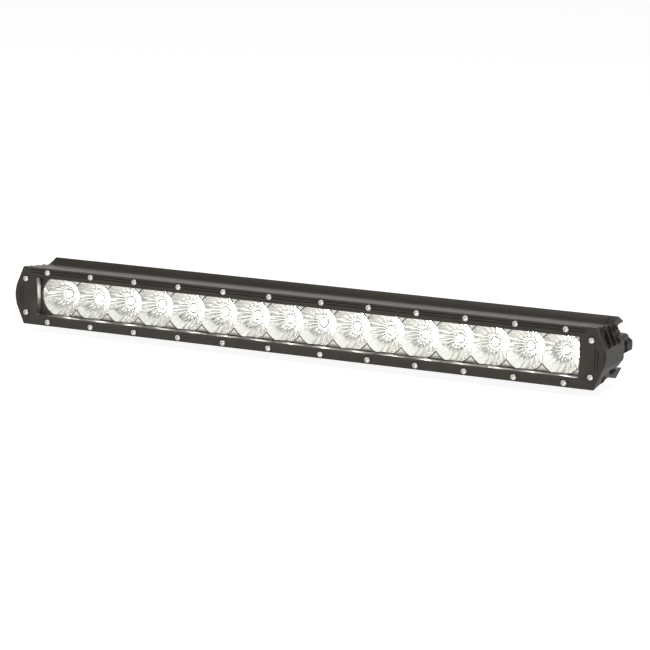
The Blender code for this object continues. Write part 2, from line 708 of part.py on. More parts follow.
def make_end_cap(name, side, bar):
    mesh = prism(name, "X", cap_outline(), side * CAP_INNER, side * CAP_PLATE)
    cap = add_object(name, mesh, bar, "black_coat")
    add_cap_corner(cap, side)
    add_cap_ribs(cap, side)
    add_cap_hood(cap, side)

    # Sloping lower back corner of the side block.
    back = CAP_BLOCK_BACK + OVER
    slope = [(CAP_SLOPE_FRONT_Y, CAP_SLOPE_LOW_Z), (back, CAP_SLOPE_HIGH_Z), (back, CAP_SLOPE_LOW_Z)]
    low, high = CAP_PLATE + JOIN / 4, BAR_HALF + OVER
    cut(cap, prism("back_slope", "X", slope, side * low, side * high))

    # Seal recess, wire way and port.
    seal = seal_outline(SEAL_MARGIN + GAP)
    low, high = CAP_INNER - OVER, CAP_INNER + SEAL_RECESS
    cut(cap, prism("seal_recess", "X", seal, side * low, side * high))
    wire = rectangle(WIRE_WAY_FRONT, WIRE_WAY_BACK, -WIRE_WAY_HALF, WIRE_WAY_HALF)
    cut(cap, prism("wire_way", "X", wire, side * CAP_INNER, side * WIRE_WAY_END))
    centre = (side * PORT_X, 0.0)
    cut(cap, rounds("port", "Y", [centre], PORT_RADIUS, PORT_FRONT, CAP_BLOCK_BACK + OVER, 12))

    # Screw holes.
    bore = SCREW_SHANK_RADIUS + GAP
    cut(cap, rounds("threads", "Y", screw_end_centres((side,)), bore, 0.0, SCREW_BACK + GAP))
    holes = bmesh.new()
    for y, z in CAP_SCREWS:
        for row in (-1, 1):
            radius = CAP_SCREW_SHANK_RADIUS + GAP
            stations = [
                (side * (CAP_INNER - OVER), radius, False),
                (side * CAP_PLATE, radius, False),
                (side * CAP_PLATE, CAP_SCREW_SEAT_RADIUS, False),
                (side * (BAR_HALF + OVER), CAP_SCREW_SEAT_RADIUS, False),
            ]
            add_turned(holes, "X", (y, row * z), stations, 12)
    cut(cap, to_mesh("cap_screw_holes", holes))


def make_end_gasket(name, side, bar):
    outer = seal_outline(SEAL_MARGIN)
    mesh = prism(name, "X", outer, side * CAP_INNER, side * (CAP_INNER + SEAL_THICK))
    gasket = add_object(name, mesh, bar, "seal_rubber")
    low, high = CAP_INNER - OVER, CAP_INNER + SEAL_THICK + OVER
    cut(gasket, prism("opening", "X", seal_outline(0.0), side * low, side * high))


def make_end_cap_screws(label, side, bar):
    seat = CAP_PLATE + GAP
    top = seat + CAP_SCREW_HEAD_HEIGHT
    number = 0
    for y, z in CAP_SCREWS:
        for row in (1, -1):
            number += 1
            stations = [
                (side * (top - CAP_SCREW_SOCKET_DEPTH), CAP_SCREW_SOCKET_RADIUS, True),
                (side * top, CAP_SCREW_SOCKET_RADIUS, True),
                (side * top, CAP_SCREW_HEAD_RADIUS, False),
                (side * seat, CAP_SCREW_HEAD_RADIUS, False),
                (side * seat, CAP_SCREW_SHANK_RADIUS, False),
                (side * CAP_SCREW_END, CAP_SCREW_SHANK_RADIUS, False),
            ]
            name = f"end_cap_screw_{label}_{number}"
            mesh = turned(name, "X", (y, row * z), stations)
            add_object(name, mesh, bar, "black_steel")


def make_cable_gland(bar):
    centre = (PORT_X, 0.0)
    back = CAP_BLOCK_BACK + GAP
    body = [
        (FITTING_FRONT, PORT_RADIUS - GAP, False),
        (back, PORT_RADIUS - GAP, False),
        (back, COLLAR_RADIUS, False),
        (GLAND_HEX_FRONT, COLLAR_RADIUS, False),
        (GLAND_HEX_FRONT, FITTING_FLAT, True),
        (GLAND_HEX_BACK, FITTING_FLAT, True),
        (GLAND_HEX_BACK, STEM_RADIUS, False),
        (STEM_BACK, STEM_RADIUS, False),
    ]
    mesh = turned("cable_gland_body", "Y", centre, body)
    gland = add_object("cable_gland_body", mesh, bar, "black_nylon")
    far = PIVOT_Y + 2 * OVER
    cut(gland, rounds("bore", "Y", [centre], GLAND_BORE_RADIUS, PORT_FRONT, far))
    nut_front = GLAND_HEX_BACK + GAP
    outline = [(nut_front, FITTING_FLAT, True), (NUT_HEX_BACK, FITTING_FLAT, True)]
    outline += [(y, radius, False) for y, radius in NUT_DOME]
    mesh = turned("cable_gland_nut", "Y", centre, outline)
    nut = add_object("cable_gland_nut", mesh, bar, "black_nylon")
    cut(nut, rounds("thread", "Y", [centre], STEM_RADIUS + GAP, CAP_BLOCK_BACK, NUT_THREAD_BACK, 12))
    cut(nut, rounds("exit", "Y", [centre], NUT_EXIT_RADIUS, CAP_BLOCK_BACK, far + 2 * OVER, 12))


def make_vent_plug(bar):
    back = CAP_BLOCK_BACK + GAP
    stations = [
        (FITTING_FRONT, PORT_RADIUS - GAP, False),
        (back, PORT_RADIUS - GAP, False),
        (back, FITTING_FLAT, True),
        (back + VENT_HEX_HEIGHT, FITTING_FLAT, True),
        (back + VENT_HEX_HEIGHT, STEM_RADIUS, False),
        (back + VENT_NECK_HEIGHT, STEM_RADIUS, False),
        (back + VENT_NECK_HEIGHT, VENT_CAP_RADIUS, False),
        (back + VENT_CAP_HEIGHT, VENT_CAP_RADIUS, False),
        (back + VENT_HEIGHT, VENT_TOP_RADIUS, False),
    ]
    add_object("vent_plug", turned("vent_plug", "Y", (-PORT_X, 0.0), stations), bar, "black_nylon")


def make_slide_block(label, slide):
    """T-shaped block in the channel with a lug for the tilt bolt; X = 0 is its middle."""
    head = CHANNEL_HALF - GAP
    neck = CHANNEL_MOUTH_HALF - GAP
    flange_front = NOSE_Y + GAP
    flange_back = PIVOT_Y - CHEEK_RADIUS - SLIDER_CLEARANCE
    upper = [(CHANNEL_FLOOR + GAP, head), (CHANNEL_LIP - GAP, head), (CHANNEL_LIP - GAP, neck)]
    upper += [(flange_front, neck), (flange_front, SLIDER_FLANGE_HALF)]
    upper += [(flange_back, SLIDER_FLANGE_HALF)]
    name = f"slide_block_{label}"
    mesh = prism(name, "X", whole_outline(upper), -SLIDER_HALF, SLIDER_HALF)
    block = add_object(name, mesh, slide, "black_steel")
    lug = [(flange_back - OVER, -LUG_RADIUS), (flange_back - OVER, LUG_RADIUS)]
    lug += arc(PIVOT_Y, 0.0, LUG_RADIUS, 90, -90, 8)
    unite(block, prism("lug", "X", lug, -LUG_HALF, LUG_HALF))
    far = SLIDER_HALF + OVER
    cut(block, rounds("pivot_bore", "X", [(PIVOT_Y, 0.0)], PIVOT_RADIUS + GAP, -far, far, 16))


def make_foot(label, tilt):
    """Folded foot with two cheeks; its origin is the tilt axis."""
    front = FOOT_FRONT - PIVOT_Y
    back = FOOT_BACK - PIVOT_Y
    top = FOOT_UNDERSIDE + FOOT_THICK
    name = f"foot_{label}"
    base = rounded_rectangle(FOOT_HALF, (back - front) / 2, FOOT_CORNER, 3)
    middle = (back + front) / 2
    base = [(x, y + middle) for x, y in base]
    mesh = prism(name, "Z", base, FOOT_UNDERSIDE, top)
    foot = add_object(name, mesh, tilt, "black_steel")
    cheek = [(CHEEK_FRONT, top - OVER), (CHEEK_FRONT, CHEEK_FRONT_Z)]
    cheek += arc(0.0, 0.0, CHEEK_RADIUS, 215, -35, 14)
    cheek += [(CHEEK_BACK, CHEEK_BACK_Z), (CHEEK_BACK, top - OVER)]
    inner = LUG_HALF + GAP
    cheeks = bmesh.new()
    for side in (-1, 1):
        add_prism(cheeks, "X", cheek, side * inner, side * (inner + CHEEK_THICK))
    unite(foot, to_mesh("cheeks", cheeks))
    cut(foot, rounds("pivot_bore", "X", [(0.0, 0.0)], PIVOT_RADIUS + GAP, -FOOT_HALF, FOOT_HALF, 16))
    slots = bmesh.new()
    for side in (-1, 1):
        outline = slot_outline(side * SLOT_X, SLOT_Y - PIVOT_Y, SLOT_HALF_TRAVEL, SLOT_RADIUS, 6)
        add_prism(slots, "Z", outline, FOOT_UNDERSIDE - OVER, top + OVER)
    cut(foot, to_mesh("slots", slots))


def make_pivot_bolt(label, outward, tilt):
    """Flanged hexagon bolt through the cheeks, and its flanged nut."""
    face = LUG_HALF + CHEEK_THICK + 2 * GAP
    bolt = [
        (outward * (face + BOLT_HEAD_HEIGHT), BOLT_END_FLAT, True),
        (outward * (face + BOLT_FLANGE_THICK), BOLT_FLAT, True),
        (outward * (face + BOLT_FLANGE_THICK), BOLT_FLANGE_RADIUS, False),
        (outward * face, BOLT_FLANGE_RADIUS, False),
        (outward * face, PIVOT_RADIUS, False),
        (-outward * (face + BOLT_TAIL), PIVOT_RADIUS, False),
    ]
    name = f"pivot_bolt_{label}"
    add_object(name, turned(name, "X", (0.0, 0.0), bolt), tilt, "stainless")
    nut = [
        (-outward * face, BOLT_FLANGE_RADIUS, False),
        (-outward * (face + BOLT_FLANGE_THICK), BOLT_FLANGE_RADIUS, False),
        (-outward * (face + BOLT_FLANGE_THICK), BOLT_FLAT, True),
        (-outward * (face + NUT_HEIGHT), BOLT_END_FLAT, True),
    ]
    name = f"pivot_nut_{label}"
    made = add_object(name, turned(name, "X", (0.0, 0.0), nut), tilt, "stainless")
    far = face + 2 * NUT_HEIGHT
    cut(made, rounds("thread", "X", [(0.0, 0.0)], PIVOT_RADIUS + GAP, -far, far, 12))


def build():
    clear_scene()
    bar = empty("BAR", (0.0, FRONT_Y, MID_Z))
    make_housing(bar)
    make_mounting_rails(bar)
    make_bezel(bar)
    make_bezel_screws(bar)
    make_lens(bar)
    make_lens_gasket(bar)
    make_reflector(bar)
    make_led_board(bar)
    make_driver_board(bar)
    for label, side in (("left", -1), ("right", 1)):
        make_end_cap(f"end_cap_{label}", side, bar)
        make_end_gasket(f"end_gasket_{label}", side, bar)
        make_end_cap_screws(label, side, bar)
    make_cable_gland(bar)
    make_vent_plug(bar)
    for label, side in (("left", -1), ("right", 1)):
        slide = empty(f"{label}_slide", (side * FOOT_X, 0.0, 0.0), bar)
        tilt = empty(f"{label}_tilt", (0.0, PIVOT_Y, 0.0), slide)
        make_slide_block(label, slide)
        make_foot(label, tilt)
        make_pivot_bolt(label, side, tilt)


build()
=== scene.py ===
"""Looks of the LED light bar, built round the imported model.

Shapes are made in the bar's own axes: X along the bar, Y = 0 on the bezel's front
face with +Y towards the back, and Z = 0 at mid-height.  BAR is that point in the frame.
"""

import math

import bmesh
import bpy
from mathutils import Matrix, Vector


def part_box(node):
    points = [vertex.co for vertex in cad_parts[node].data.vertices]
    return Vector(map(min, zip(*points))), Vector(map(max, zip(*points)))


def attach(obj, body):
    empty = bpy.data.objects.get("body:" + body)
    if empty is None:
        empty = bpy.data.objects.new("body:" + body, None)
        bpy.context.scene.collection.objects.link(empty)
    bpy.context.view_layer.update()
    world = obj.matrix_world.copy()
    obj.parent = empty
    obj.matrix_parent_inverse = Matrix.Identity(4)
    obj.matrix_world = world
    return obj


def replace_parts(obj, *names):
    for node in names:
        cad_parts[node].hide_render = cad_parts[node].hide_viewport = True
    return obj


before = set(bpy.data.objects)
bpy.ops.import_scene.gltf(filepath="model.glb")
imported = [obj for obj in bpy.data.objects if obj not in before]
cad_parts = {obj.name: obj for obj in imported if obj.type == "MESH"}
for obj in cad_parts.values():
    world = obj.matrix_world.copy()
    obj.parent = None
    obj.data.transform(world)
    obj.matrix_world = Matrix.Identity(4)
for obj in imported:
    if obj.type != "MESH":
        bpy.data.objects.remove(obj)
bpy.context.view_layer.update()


def middle(node):
    """Centre of a node's box, in the frame."""
    low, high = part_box(node)
    return (low + high) / 2


def size(node):
    """Extents of a node's box."""
    low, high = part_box(node)
    return high - low


# How far the bezel's ends bow out at mid-height, and how far back their rounded edge reaches.
END_BOW = 0.0022
END_ROUND = 0.0024
END_ROUND_STATIONS = (0.0005, 0.0010, 0.0016)
END_STEPS = 12

# The bar's own origin in the frame, in the middle of the bezel's front face.
BAR = Vector((middle("bezel").x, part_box("bezel")[0].y, middle("bezel").z))


def depths(node):
    """Y of a node's front and back, in the bar's axes."""
    low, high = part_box(node)
    return low.y - BAR.y, high.y - BAR.y


# Driving dimensions read from the frame.
BAR_HALF = size("bezel").x / 2 - END_BOW
BAR_HALF_HEIGHT = size("bezel").z / 2
LIP_BACK = size("bezel").y
SCREWS = sorted(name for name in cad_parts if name.startswith("bezel_screw_"))
SCREW_HEAD_RADIUS = size(SCREWS[0]).x / 2
SCREW_HEAD_PROUD = -depths(SCREWS[0])[0]
HOUSING_HALF = size("housing").x / 2
RAIL_FRONT = depths("mounting_rail_upper")[0]
RAIL_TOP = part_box("mounting_rail_upper")[1].z - BAR.z
LENS_FRONT, LENS_BACK = depths("lens")
REFLECTOR_FRONT, REFLECTOR_BACK = depths("reflector_array")
REFLECTOR_HALF = size("reflector_array").x / 2
REFLECTOR_HALF_HEIGHT = size("reflector_array").z / 2
BOARD_BACK = depths("led_board")[1]

# Bezel.
CORNER_X = BAR_HALF - 0.0074
CORNER_Z = 0.0090
BEZEL_THICK = 0.0050
WINDOW_HALF = 0.2594
WINDOW_HALF_HEIGHT = 0.0176
WINDOW_CORNER = 0.0015
WINDOW_END_STEPS = 144
SCOOP_CENTRE = 0.2450
SCOOP_RADIUS = 0.0226
SCOOP_SLOPE = 4.3
EDGE_CHAMFER = 0.0002
MOUTH_CHAMFER = 0.0003
SEAT_RADIUS = SCREW_HEAD_RADIUS + 0.0005
SEAT_DEPTH = 0.0009
SEAT_SIDES = 24
BORE_RADIUS = 0.0018
GROOVE_ROWS = (0.0240, 0.0217)
GROOVE_HALF = 0.0005
GROOVE_DEPTH = 0.0006
GROOVE_END = 0.2650
GROOVE_SLOPE = 0.0004
GROOVE_SHORTEST = 0.0020
END_GROOVES = ((0.2737, 0.0095), (0.2762, 0.0078))

# Light engine.
LED_COUNT = 16
LED_PITCH = 0.0320
CUP_RADIUS = 0.0189
THROAT_RADIUS = 0.0036
PETALS = 18

# Camera, in the bar's axes.
CAMERA_YAW = math.radians(25.10)
CAMERA_PITCH = math.radians(11.12)
CAMERA_ROLL = math.radians(1.25)
CAMERA_PLACE = Vector((0.9659, -2.0001, 0.4376))
SENSOR = 36.0
CAMERA_LENS = 145.42


# ---- mesh helpers

def shaded_mesh(name, shape, smooth_angle):
    """A mesh from a bmesh, smooth but for edges sharper than the angle in degrees."""
    mesh = bpy.data.meshes.new(name)
    shape.to_mesh(mesh)
    shape.free()
    mesh.shade_smooth()
    mesh.set_sharp_from_angle(angle=math.radians(smooth_angle))
    return mesh


def new_piece(name, shape, slot, body="bar", origin=None, smooth_angle=35.0):
    """Turn a bmesh made in the bar's axes into a piece that rides on a body."""
    bmesh.ops.recalc_face_normals(shape, faces=shape.faces)
    return link_piece(name, shaded_mesh(name, shape, smooth_angle), slot, body, origin)


def link_object(name, data):
    made = bpy.data.objects.new(name, data)
    bpy.context.scene.collection.objects.link(made)
    return made


def link_piece(name, mesh, slot, body="bar", origin=None):
    """Show a mesh as a piece that rides on a body."""
    made = link_object(name, mesh)
    made.location = BAR if origin is None else origin
    if not mesh.materials:
        mesh.materials.append(MATERIALS[slot])
    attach(made, body)
    return made


def recoat(piece, material):
    piece.data.materials.clear()
    piece.data.materials.append(material)


def filleted(points, radius, steps):
    """Round every corner of a closed outline, as far as its sides allow."""
    made = []
    count = len(points)
    for index, corner in enumerate(points):
        here = Vector(corner)
        before = Vector(points[index - 1]) - here
        after = Vector(points[(index + 1) % count]) - here
        turn = before.angle(after)
        if turn > math.radians(165):
            made.append(tuple(here))
            continue
        reach = min(radius / math.tan(turn / 2), before.length * 0.45, after.length * 0.45)
        start = here + before.normalized() * reach
        end = here + after.normalized() * reach
        for step in range(steps + 1):
            part = step / steps
            first = start.lerp(here, part)
            second = here.lerp(end, part)
            made.append(tuple(first.lerp(second, part)))
    return made


def rectangle(half_u, half_v, centre_u=0.0):
    left, right = centre_u - half_u, centre_u + half_u
    return [(left, -half_v), (right, -half_v), (right, half_v), (left, half_v)]


def on_axis(axis, along, u, v):
    """A place from its height along an axis, X or Y, and the other two coordinates in order."""
    return (along, u, v) if axis == "X" else (u, along, v)


def add_prism(shape, axis, outline, low, high):
    """A closed outline drawn out along an axis."""
    lower = [shape.verts.new(on_axis(axis, low, u, v)) for u, v in outline]
    upper = [shape.verts.new(on_axis(axis, high, u, v)) for u, v in outline]
    shape.faces.new(lower)
    shape.faces.new(reversed(upper))
    for index, vertex in enumerate(lower):
        after = (index + 1) % len(lower)
        shape.faces.new((vertex, upper[index], upper[after], lower[after]))


def bridge(shape, first, second):
    """Quads between two closed rows of vertices of equal length."""
    for index in range(len(first)):
        after = (index + 1) % len(first)
        corners = [first[index], first[after], second[after], second[index]]
        unique = []
        for corner in corners:
            if corner not in unique:
                unique.append(corner)
        if len(unique) > 2:
            shape.faces.new(unique)


def bridge_all(shape, rows):
    for first, second in zip(rows, rows[1:]):
        bridge(shape, first, second)


# Corner radii of hexagons: larger than any, and how far a chamfer cuts in relative to the flats.
UNCUT = 1.0
HEXAGON_CHAMFER = 1.04


def hexagon_corner(flat_radius):
    return flat_radius / math.cos(math.pi / 6)


def hexagon_reach(angle, flat_radius):
    turned = (angle + math.pi / 6) % (math.pi / 3) - math.pi / 6
    return flat_radius / math.cos(turned)


def turned_rings(shape, axis, centre, stations, sides):
    """Rings of vertices along an axis.

    A station is (along, radius), or (along, flat radius, corner radius) for a
    hexagon whose corners a cone has cut back to the corner radius, or left UNCUT.
    """
    rings = []
    for station in stations:
        along, radius = station[0], station[1]
        ring = []
        for side in range(sides):
            angle = 2 * math.pi * side / sides
            reach = radius
            if len(station) > 2:
                reach = min(hexagon_reach(angle, radius), station[2])
            u = centre[0] + reach * math.cos(angle)
            v = centre[1] + reach * math.sin(angle)
            ring.append(shape.verts.new(on_axis(axis, along, u, v)))
        rings.append(ring)
    return rings


def add_turned(shape, axis, centre, stations, sides=48, looped=False):
    """A turned solid, with flat ends or looped back into a bored ring."""
    rings = turned_rings(shape, axis, centre, stations, sides)
    bridge_all(shape, rings)
    if looped:
        bridge(shape, rings[-1], rings[0])
    else:
        shape.faces.new(rings[0])
        shape.faces.new(rings[-1])


def turned_detail(node, axis, centre, stations, slot, body="bar", origin=None, sides=48, looped=False):
    """A turned piece in place of a node."""
    shape = bmesh.new()
    add_turned(shape, axis, centre, stations, sides, looped)
    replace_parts(new_piece(f"{node}_detail", shape, slot, body, origin), node)


def cut_with(target, shape):
    """Cut away a closed bmesh made in the same axes as the target."""
    bmesh.ops.recalc_face_normals(shape, faces=shape.faces)
    mesh = bpy.data.meshes.new("cutter")
    shape.to_mesh(mesh)
    shape.free()
    cutter = link_object("cutter", mesh)
    cutter.matrix_world = target.matrix_world
    step = target.modifiers.new("cut", "BOOLEAN")
    step.operation = "DIFFERENCE"
    step.solver = "EXACT"
    step.object = cutter
    apply_modifiers(target)
    bpy.data.objects.remove(cutter)


def apply_modifiers(target):
    """Bake a piece's modifiers into its mesh."""
    bpy.context.view_layer.update()
    graph = bpy.context.evaluated_depsgraph_get()
    mesh = bpy.data.meshes.new_from_object(target.evaluated_get(graph))
    target.modifiers.clear()
    target.data = mesh


# ---- materials

def start_material(name, colour, metallic, roughness):
    made = bpy.data.materials.new(name)
    made.use_nodes = True
    tree = made.node_tree
    shader = tree.nodes["Principled BSDF"]
    shader.inputs["Base Color"].default_value = (*colour, 1.0)
    shader.inputs["Metallic"].default_value = metallic
    shader.inputs["Roughness"].default_value = roughness
    return made, tree, shader


def add_node(tree, kind, inputs=None, **settings):
    node = tree.nodes.new(kind)
    for key, value in settings.items():
        setattr(node, key, value)
    for key, value in (inputs or {}).items():
        if isinstance(value, bpy.types.NodeSocket):
            tree.links.new(value, node.inputs[key])
        else:
            node.inputs[key].default_value = value
    return node


def feed(shader, name, value):
    shader.id_data.links.new(value, shader.inputs[name])


def place_of(tree):
    return add_node(tree, "ShaderNodeTexCoord").outputs["Object"]


def noise(tree, where, scale, detail=3.0, roughness=0.5):
    values = {"Vector": where, "Scale": scale, "Detail": detail, "Roughness": roughness}
    return add_node(tree, "ShaderNodeTexNoise", values).outputs["Fac"]


def between(tree, value, low, high, start=0.3, end=0.7):
    """Map a texture's middle range onto low to high."""
    values = {"Value": value, "From Min": start, "From Max": end, "To Min": low, "To Max": high}
    return add_node(tree, "ShaderNodeMapRange", values).outputs["Result"]


# Places of a Mix node's colour sockets, whose names its other data types share.
MIX_FIRST, MIX_SECOND, MIX_RESULT = 6, 7, 2


def tinted(tree, value, first, second):
    """A colour between two others, as far along as the value says."""
    node = add_node(tree, "ShaderNodeMix", data_type="RGBA")
    tree.links.new(value, node.inputs["Factor"])
    node.inputs[MIX_FIRST].default_value = (*first, 1.0)
    node.inputs[MIX_SECOND].default_value = (*second, 1.0)
    return node.outputs[MIX_RESULT]


def uneven(tree, value, colour, low, high):
    """The colour, darkened or lightened between two factors by the value."""
    return tinted(tree, value, [part * low for part in colour], [part * high for part in colour])


def bump(tree, shader, height, strength, distance, under=None):
    """Relief on a shader, over another bump's if one is given."""
    values = {"Height": height, "Strength": strength, "Distance": distance}
    if under is not None:
        values["Normal"] = under
    made = add_node(tree, "ShaderNodeBump", values).outputs["Normal"]
    feed(shader, "Normal", made)
    return made


def powder_coat(name, colour, roughness, speck=1.0):
    """Satin powder coat: fine orange peel, a few flatter patches, faint dust in the tone."""
    made, tree, shader = start_material(name, colour, 0.0, roughness)
    where = place_of(tree)
    patches = noise(tree, where, 45.0, 4.0)
    tone = uneven(tree, between(tree, patches, 0.0, 1.0), colour, 0.86, 1.16)
    feed(shader, "Base Color", tone)
    gloss = between(tree, noise(tree, where, 260.0, 2.0), roughness - 0.05, roughness + 0.05)
    feed(shader, "Roughness", gloss)
    shader.inputs["Specular IOR Level"].default_value = 0.4
    peel = bump(tree, shader, noise(tree, where, 900.0, 2.0), 0.22 * speck, 0.0004)
    bump(tree, shader, noise(tree, where, 3200.0, 1.0), 0.10 * speck, 0.0002, peel)
    return made


def turned_metal(name, colour, roughness):
    """Bright metal with fine turning marks and a slight unevenness."""
    made, tree, shader = start_material(name, colour, 1.0, roughness)
    where = place_of(tree)
    rings = add_node(tree, "ShaderNodeTexWave", {"Vector": where, "Scale": 1400.0, "Distortion": 2.0},
                     wave_type="RINGS", rings_direction="Y").outputs["Fac"]
    feed(shader, "Roughness",
         between(tree, noise(tree, where, 700.0, 3.0), roughness - 0.06, roughness + 0.08))
    tone = uneven(tree, noise(tree, where, 300.0), colour, 0.90, 1.0)
    feed(shader, "Base Color", tone)
    bump(tree, shader, rings, 0.06, 0.0001)
    return made


def mirror_chrome(name):
    """Vacuum-metallised plastic: very smooth, with a faint waviness and haze."""
    made, tree, shader = start_material(name, (0.93, 0.93, 0.92), CHROME_METAL, 0.2)
    where = place_of(tree)
    haze = noise(tree, where, 120.0, 3.0)
    feed(shader, "Roughness", between(tree, haze, 0.08, 0.16))
    tone = tinted(tree, haze, (0.97, 0.97, 0.95), (0.90, 0.90, 0.87))
    feed(shader, "Base Color", tone)
    bump(tree, shader, noise(tree, where, 160.0, 2.0), 0.05, 0.0006)
    return made


def painted_shade_material(name):
    """Painted shade: dark satin standing in for the shade on the cups' rolled edges, on shaded flats and on
    the walls of screw sockets.
    """
    made, tree, shader = start_material(name, (0.10, 0.10, 0.10), 0.3, 0.4)
    where = place_of(tree)
    grain = noise(tree, where, 500.0, 3.0)
    feed(shader, "Base Color", tinted(tree, grain, (0.02, 0.02, 0.02), (0.06, 0.06, 0.058)))
    feed(shader, "Roughness", between(tree, grain, 0.35, 0.5))
    bump(tree, shader, grain, 0.1, 0.0002)
    return made


def clear_pane(name):
    """Clear lens: nearly invisible face on, with a faint sheen towards grazing angles."""
    made, tree, shader = start_material(name, (0.90, 0.93, 0.94), 0.0, 0.03)
    where = place_of(tree)
    facing = add_node(tree, "ShaderNodeLayerWeight", {"Blend": 0.35}).outputs["Facing"]
    feed(shader, "Alpha", between(tree, facing, 0.02, 0.22, 0.0, 1.0))
    feed(shader, "Roughness", between(tree, noise(tree, where, 60.0), 0.02, 0.05))
    feed(shader, "Base Color",
         tinted(tree, noise(tree, where, 30.0), (0.92, 0.95, 0.96), (0.86, 0.90, 0.91)))
    bump(tree, shader, noise(tree, where, 90.0), 0.02, 0.0005)
    return made


def moulded(name, colour, roughness, grain):
    """Moulded plastic or rubber: an even tone with a fine eroded grain."""
    made, tree, shader = start_material(name, colour, 0.0, roughness)
    where = place_of(tree)
    soft = noise(tree, where, 90.0, 3.0)
    tone = uneven(tree, between(tree, soft, 0.0, 1.0), colour, 0.8, 1.25)
    feed(shader, "Base Color", tone)
    feed(shader, "Roughness",
         between(tree, noise(tree, where, 400.0, 2.0), roughness - 0.08, roughness + 0.08))
    cells = add_node(tree, "ShaderNodeTexVoronoi", {"Vector": where, "Scale": grain}).outputs["Distance"]
    bump(tree, shader, cells, 0.18, 0.0002)
    return made


def solder_mask(name, colour, copper):
    """Circuit board lacquer with tracks showing through as a slight change of tone and height."""
    made, tree, shader = start_material(name, colour, 0.0, 0.35)
    where = place_of(tree)
    tracks = add_node(tree, "ShaderNodeTexBrick", {
        "Vector": where, "Scale": 110.0, "Mortar Size": 0.03,
    }).outputs["Fac"]
    feed(shader, "Base Color", tinted(tree, tracks, colour, copper))
    feed(shader, "Roughness", between(tree, noise(tree, where, 200.0), 0.28, 0.42))
    bump(tree, shader, tracks, 0.15, 0.0001)
    return made


def glowing(name):
    """Phosphor of a lit LED, a little uneven in its warmth."""
    made, tree, shader = start_material(name, (1.0, 0.95, 0.82), 0.0, 0.4)
    where = place_of(tree)
    grain = noise(tree, where, 900.0, 2.0)
    glow = tinted(tree, grain, (1.0, 0.97, 0.91), (1.0, 0.99, 0.95))
    feed(shader, "Emission Color", glow)
    shader.inputs["Emission Strength"].default_value = LED_STRENGTH
    return made


LED_STRENGTH = 250.0
CHROME_METAL = 0.96

MATERIALS = {
    "black_coat": powder_coat("black_coat", (0.038, 0.033, 0.027), 0.38),
    "black_steel": powder_coat("black_steel", (0.032, 0.028, 0.025), 0.42, 0.7),
    "stainless": turned_metal("stainless", (0.80, 0.79, 0.77), 0.24),
    "clear_lens": clear_pane("clear_lens"),
    "chrome": mirror_chrome("chrome"),
    "circuit_board": solder_mask("circuit_board", (0.80, 0.81, 0.78), (0.70, 0.71, 0.66)),
    "driver_green": solder_mask("driver_green", (0.02, 0.13, 0.05), (0.05, 0.22, 0.08)),
    "seal_rubber": moulded("seal_rubber", (0.018, 0.018, 0.019), 0.75, 900.0),
    "black_nylon": moulded("black_nylon", (0.022, 0.022, 0.023), 0.48, 1500.0),
}
# Painted shade, used on the cups' rims, the reflector's left flat and the socket walls of the bezel screws.
PAINTED_SHADE = painted_shade_material("reflector_painted_shade")
GLOW = glowing("led_phosphor")


# ---- bezel

def bezel_outline(inset, y):
    """The bezel's outline at depth y, moved in by the inset; its ends bow out behind the front."""
    side = Vector((BAR_HALF - CORNER_X, BAR_HALF_HEIGHT - CORNER_Z))
    slope = side.x / side.y
    slant = inset * math.hypot(1.0, slope)
    corner_z = CORNER_Z - (slant - inset) / slope
    corner_x = CORNER_X + inset * slope - slant
    bow = END_BOW * math.sqrt(1.0 - (1.0 - min(y / END_ROUND, 1.0)) ** 2)
    half = [(corner_x, inset - BAR_HALF_HEIGHT)]
    for step in range(END_STEPS + 1):
        part = 2 * step / END_STEPS - 1
        half.append((BAR_HALF - inset + bow * (1 - part ** 2), corner_z * part))
    half.append((corner_x, BAR_HALF_HEIGHT - inset))
    return half + [(-x, -z) for x, z in half]


def window_reach(angle):
    """Distance from a scoop's centre to the window's edge, at an angle from the bar's end."""
    end = WINDOW_HALF - SCOOP_CENTRE
    cosine, sine = math.cos(angle), abs(math.sin(angle))
    to_side = WINDOW_HALF_HEIGHT / sine if sine > 0 else math.inf
    to_end = end / cosine
    corner_u, corner_v = end - WINDOW_CORNER, WINDOW_HALF_HEIGHT - WINDOW_CORNER
    along = corner_u * cosine + corner_v * sine
    across = corner_u ** 2 + corner_v ** 2 - WINDOW_CORNER ** 2
    inside = along ** 2 - across
    if inside > 0:
        reach = along + math.sqrt(inside)
        if reach * cosine >= corner_u and reach * sine >= corner_v:
            return reach
    return min(to_side, to_end)


def mouth_rows(shape):
    """The window's inner wall as closed rows of vertices, front to back.

    Each end is a sweep round the centre of a conical scoop, from corner to corner
    of the window, where the scoop's rim meets the window's long sides.
    """
    limit = math.asin(WINDOW_HALF_HEIGHT / SCOOP_RADIUS)
    rows = [[], [], [], []]
    for side in (1, -1):
        for step in range(WINDOW_END_STEPS + 1):
            angle = side * limit * (2 * step / WINDOW_END_STEPS - 1)
            wall = window_reach(angle)
            scoop = SCOOP_RADIUS - SCOOP_SLOPE * MOUTH_CHAMFER
            crease = max((SCOOP_RADIUS - wall) / SCOOP_SLOPE, MOUTH_CHAMFER)
            stations = (
                (SCOOP_RADIUS + MOUTH_CHAMFER, 0.0),
                (max(wall, scoop), MOUTH_CHAMFER),
                (wall, crease),
                (wall, LIP_BACK),
            )
            for row, (reach, y) in zip(rows, stations):
                x = side * (SCOOP_CENTRE + reach * math.cos(angle))
                row.append(shape.verts.new((x, y, reach * math.sin(angle))))
    return rows


def screw_centres():
    """Each bezel screw's axis in the bar's axes, X and Z, by node name."""
    places = {}
    for name in SCREWS:
        centre = middle(name) - BAR
        places[name] = (centre.x, centre.z)
    return places


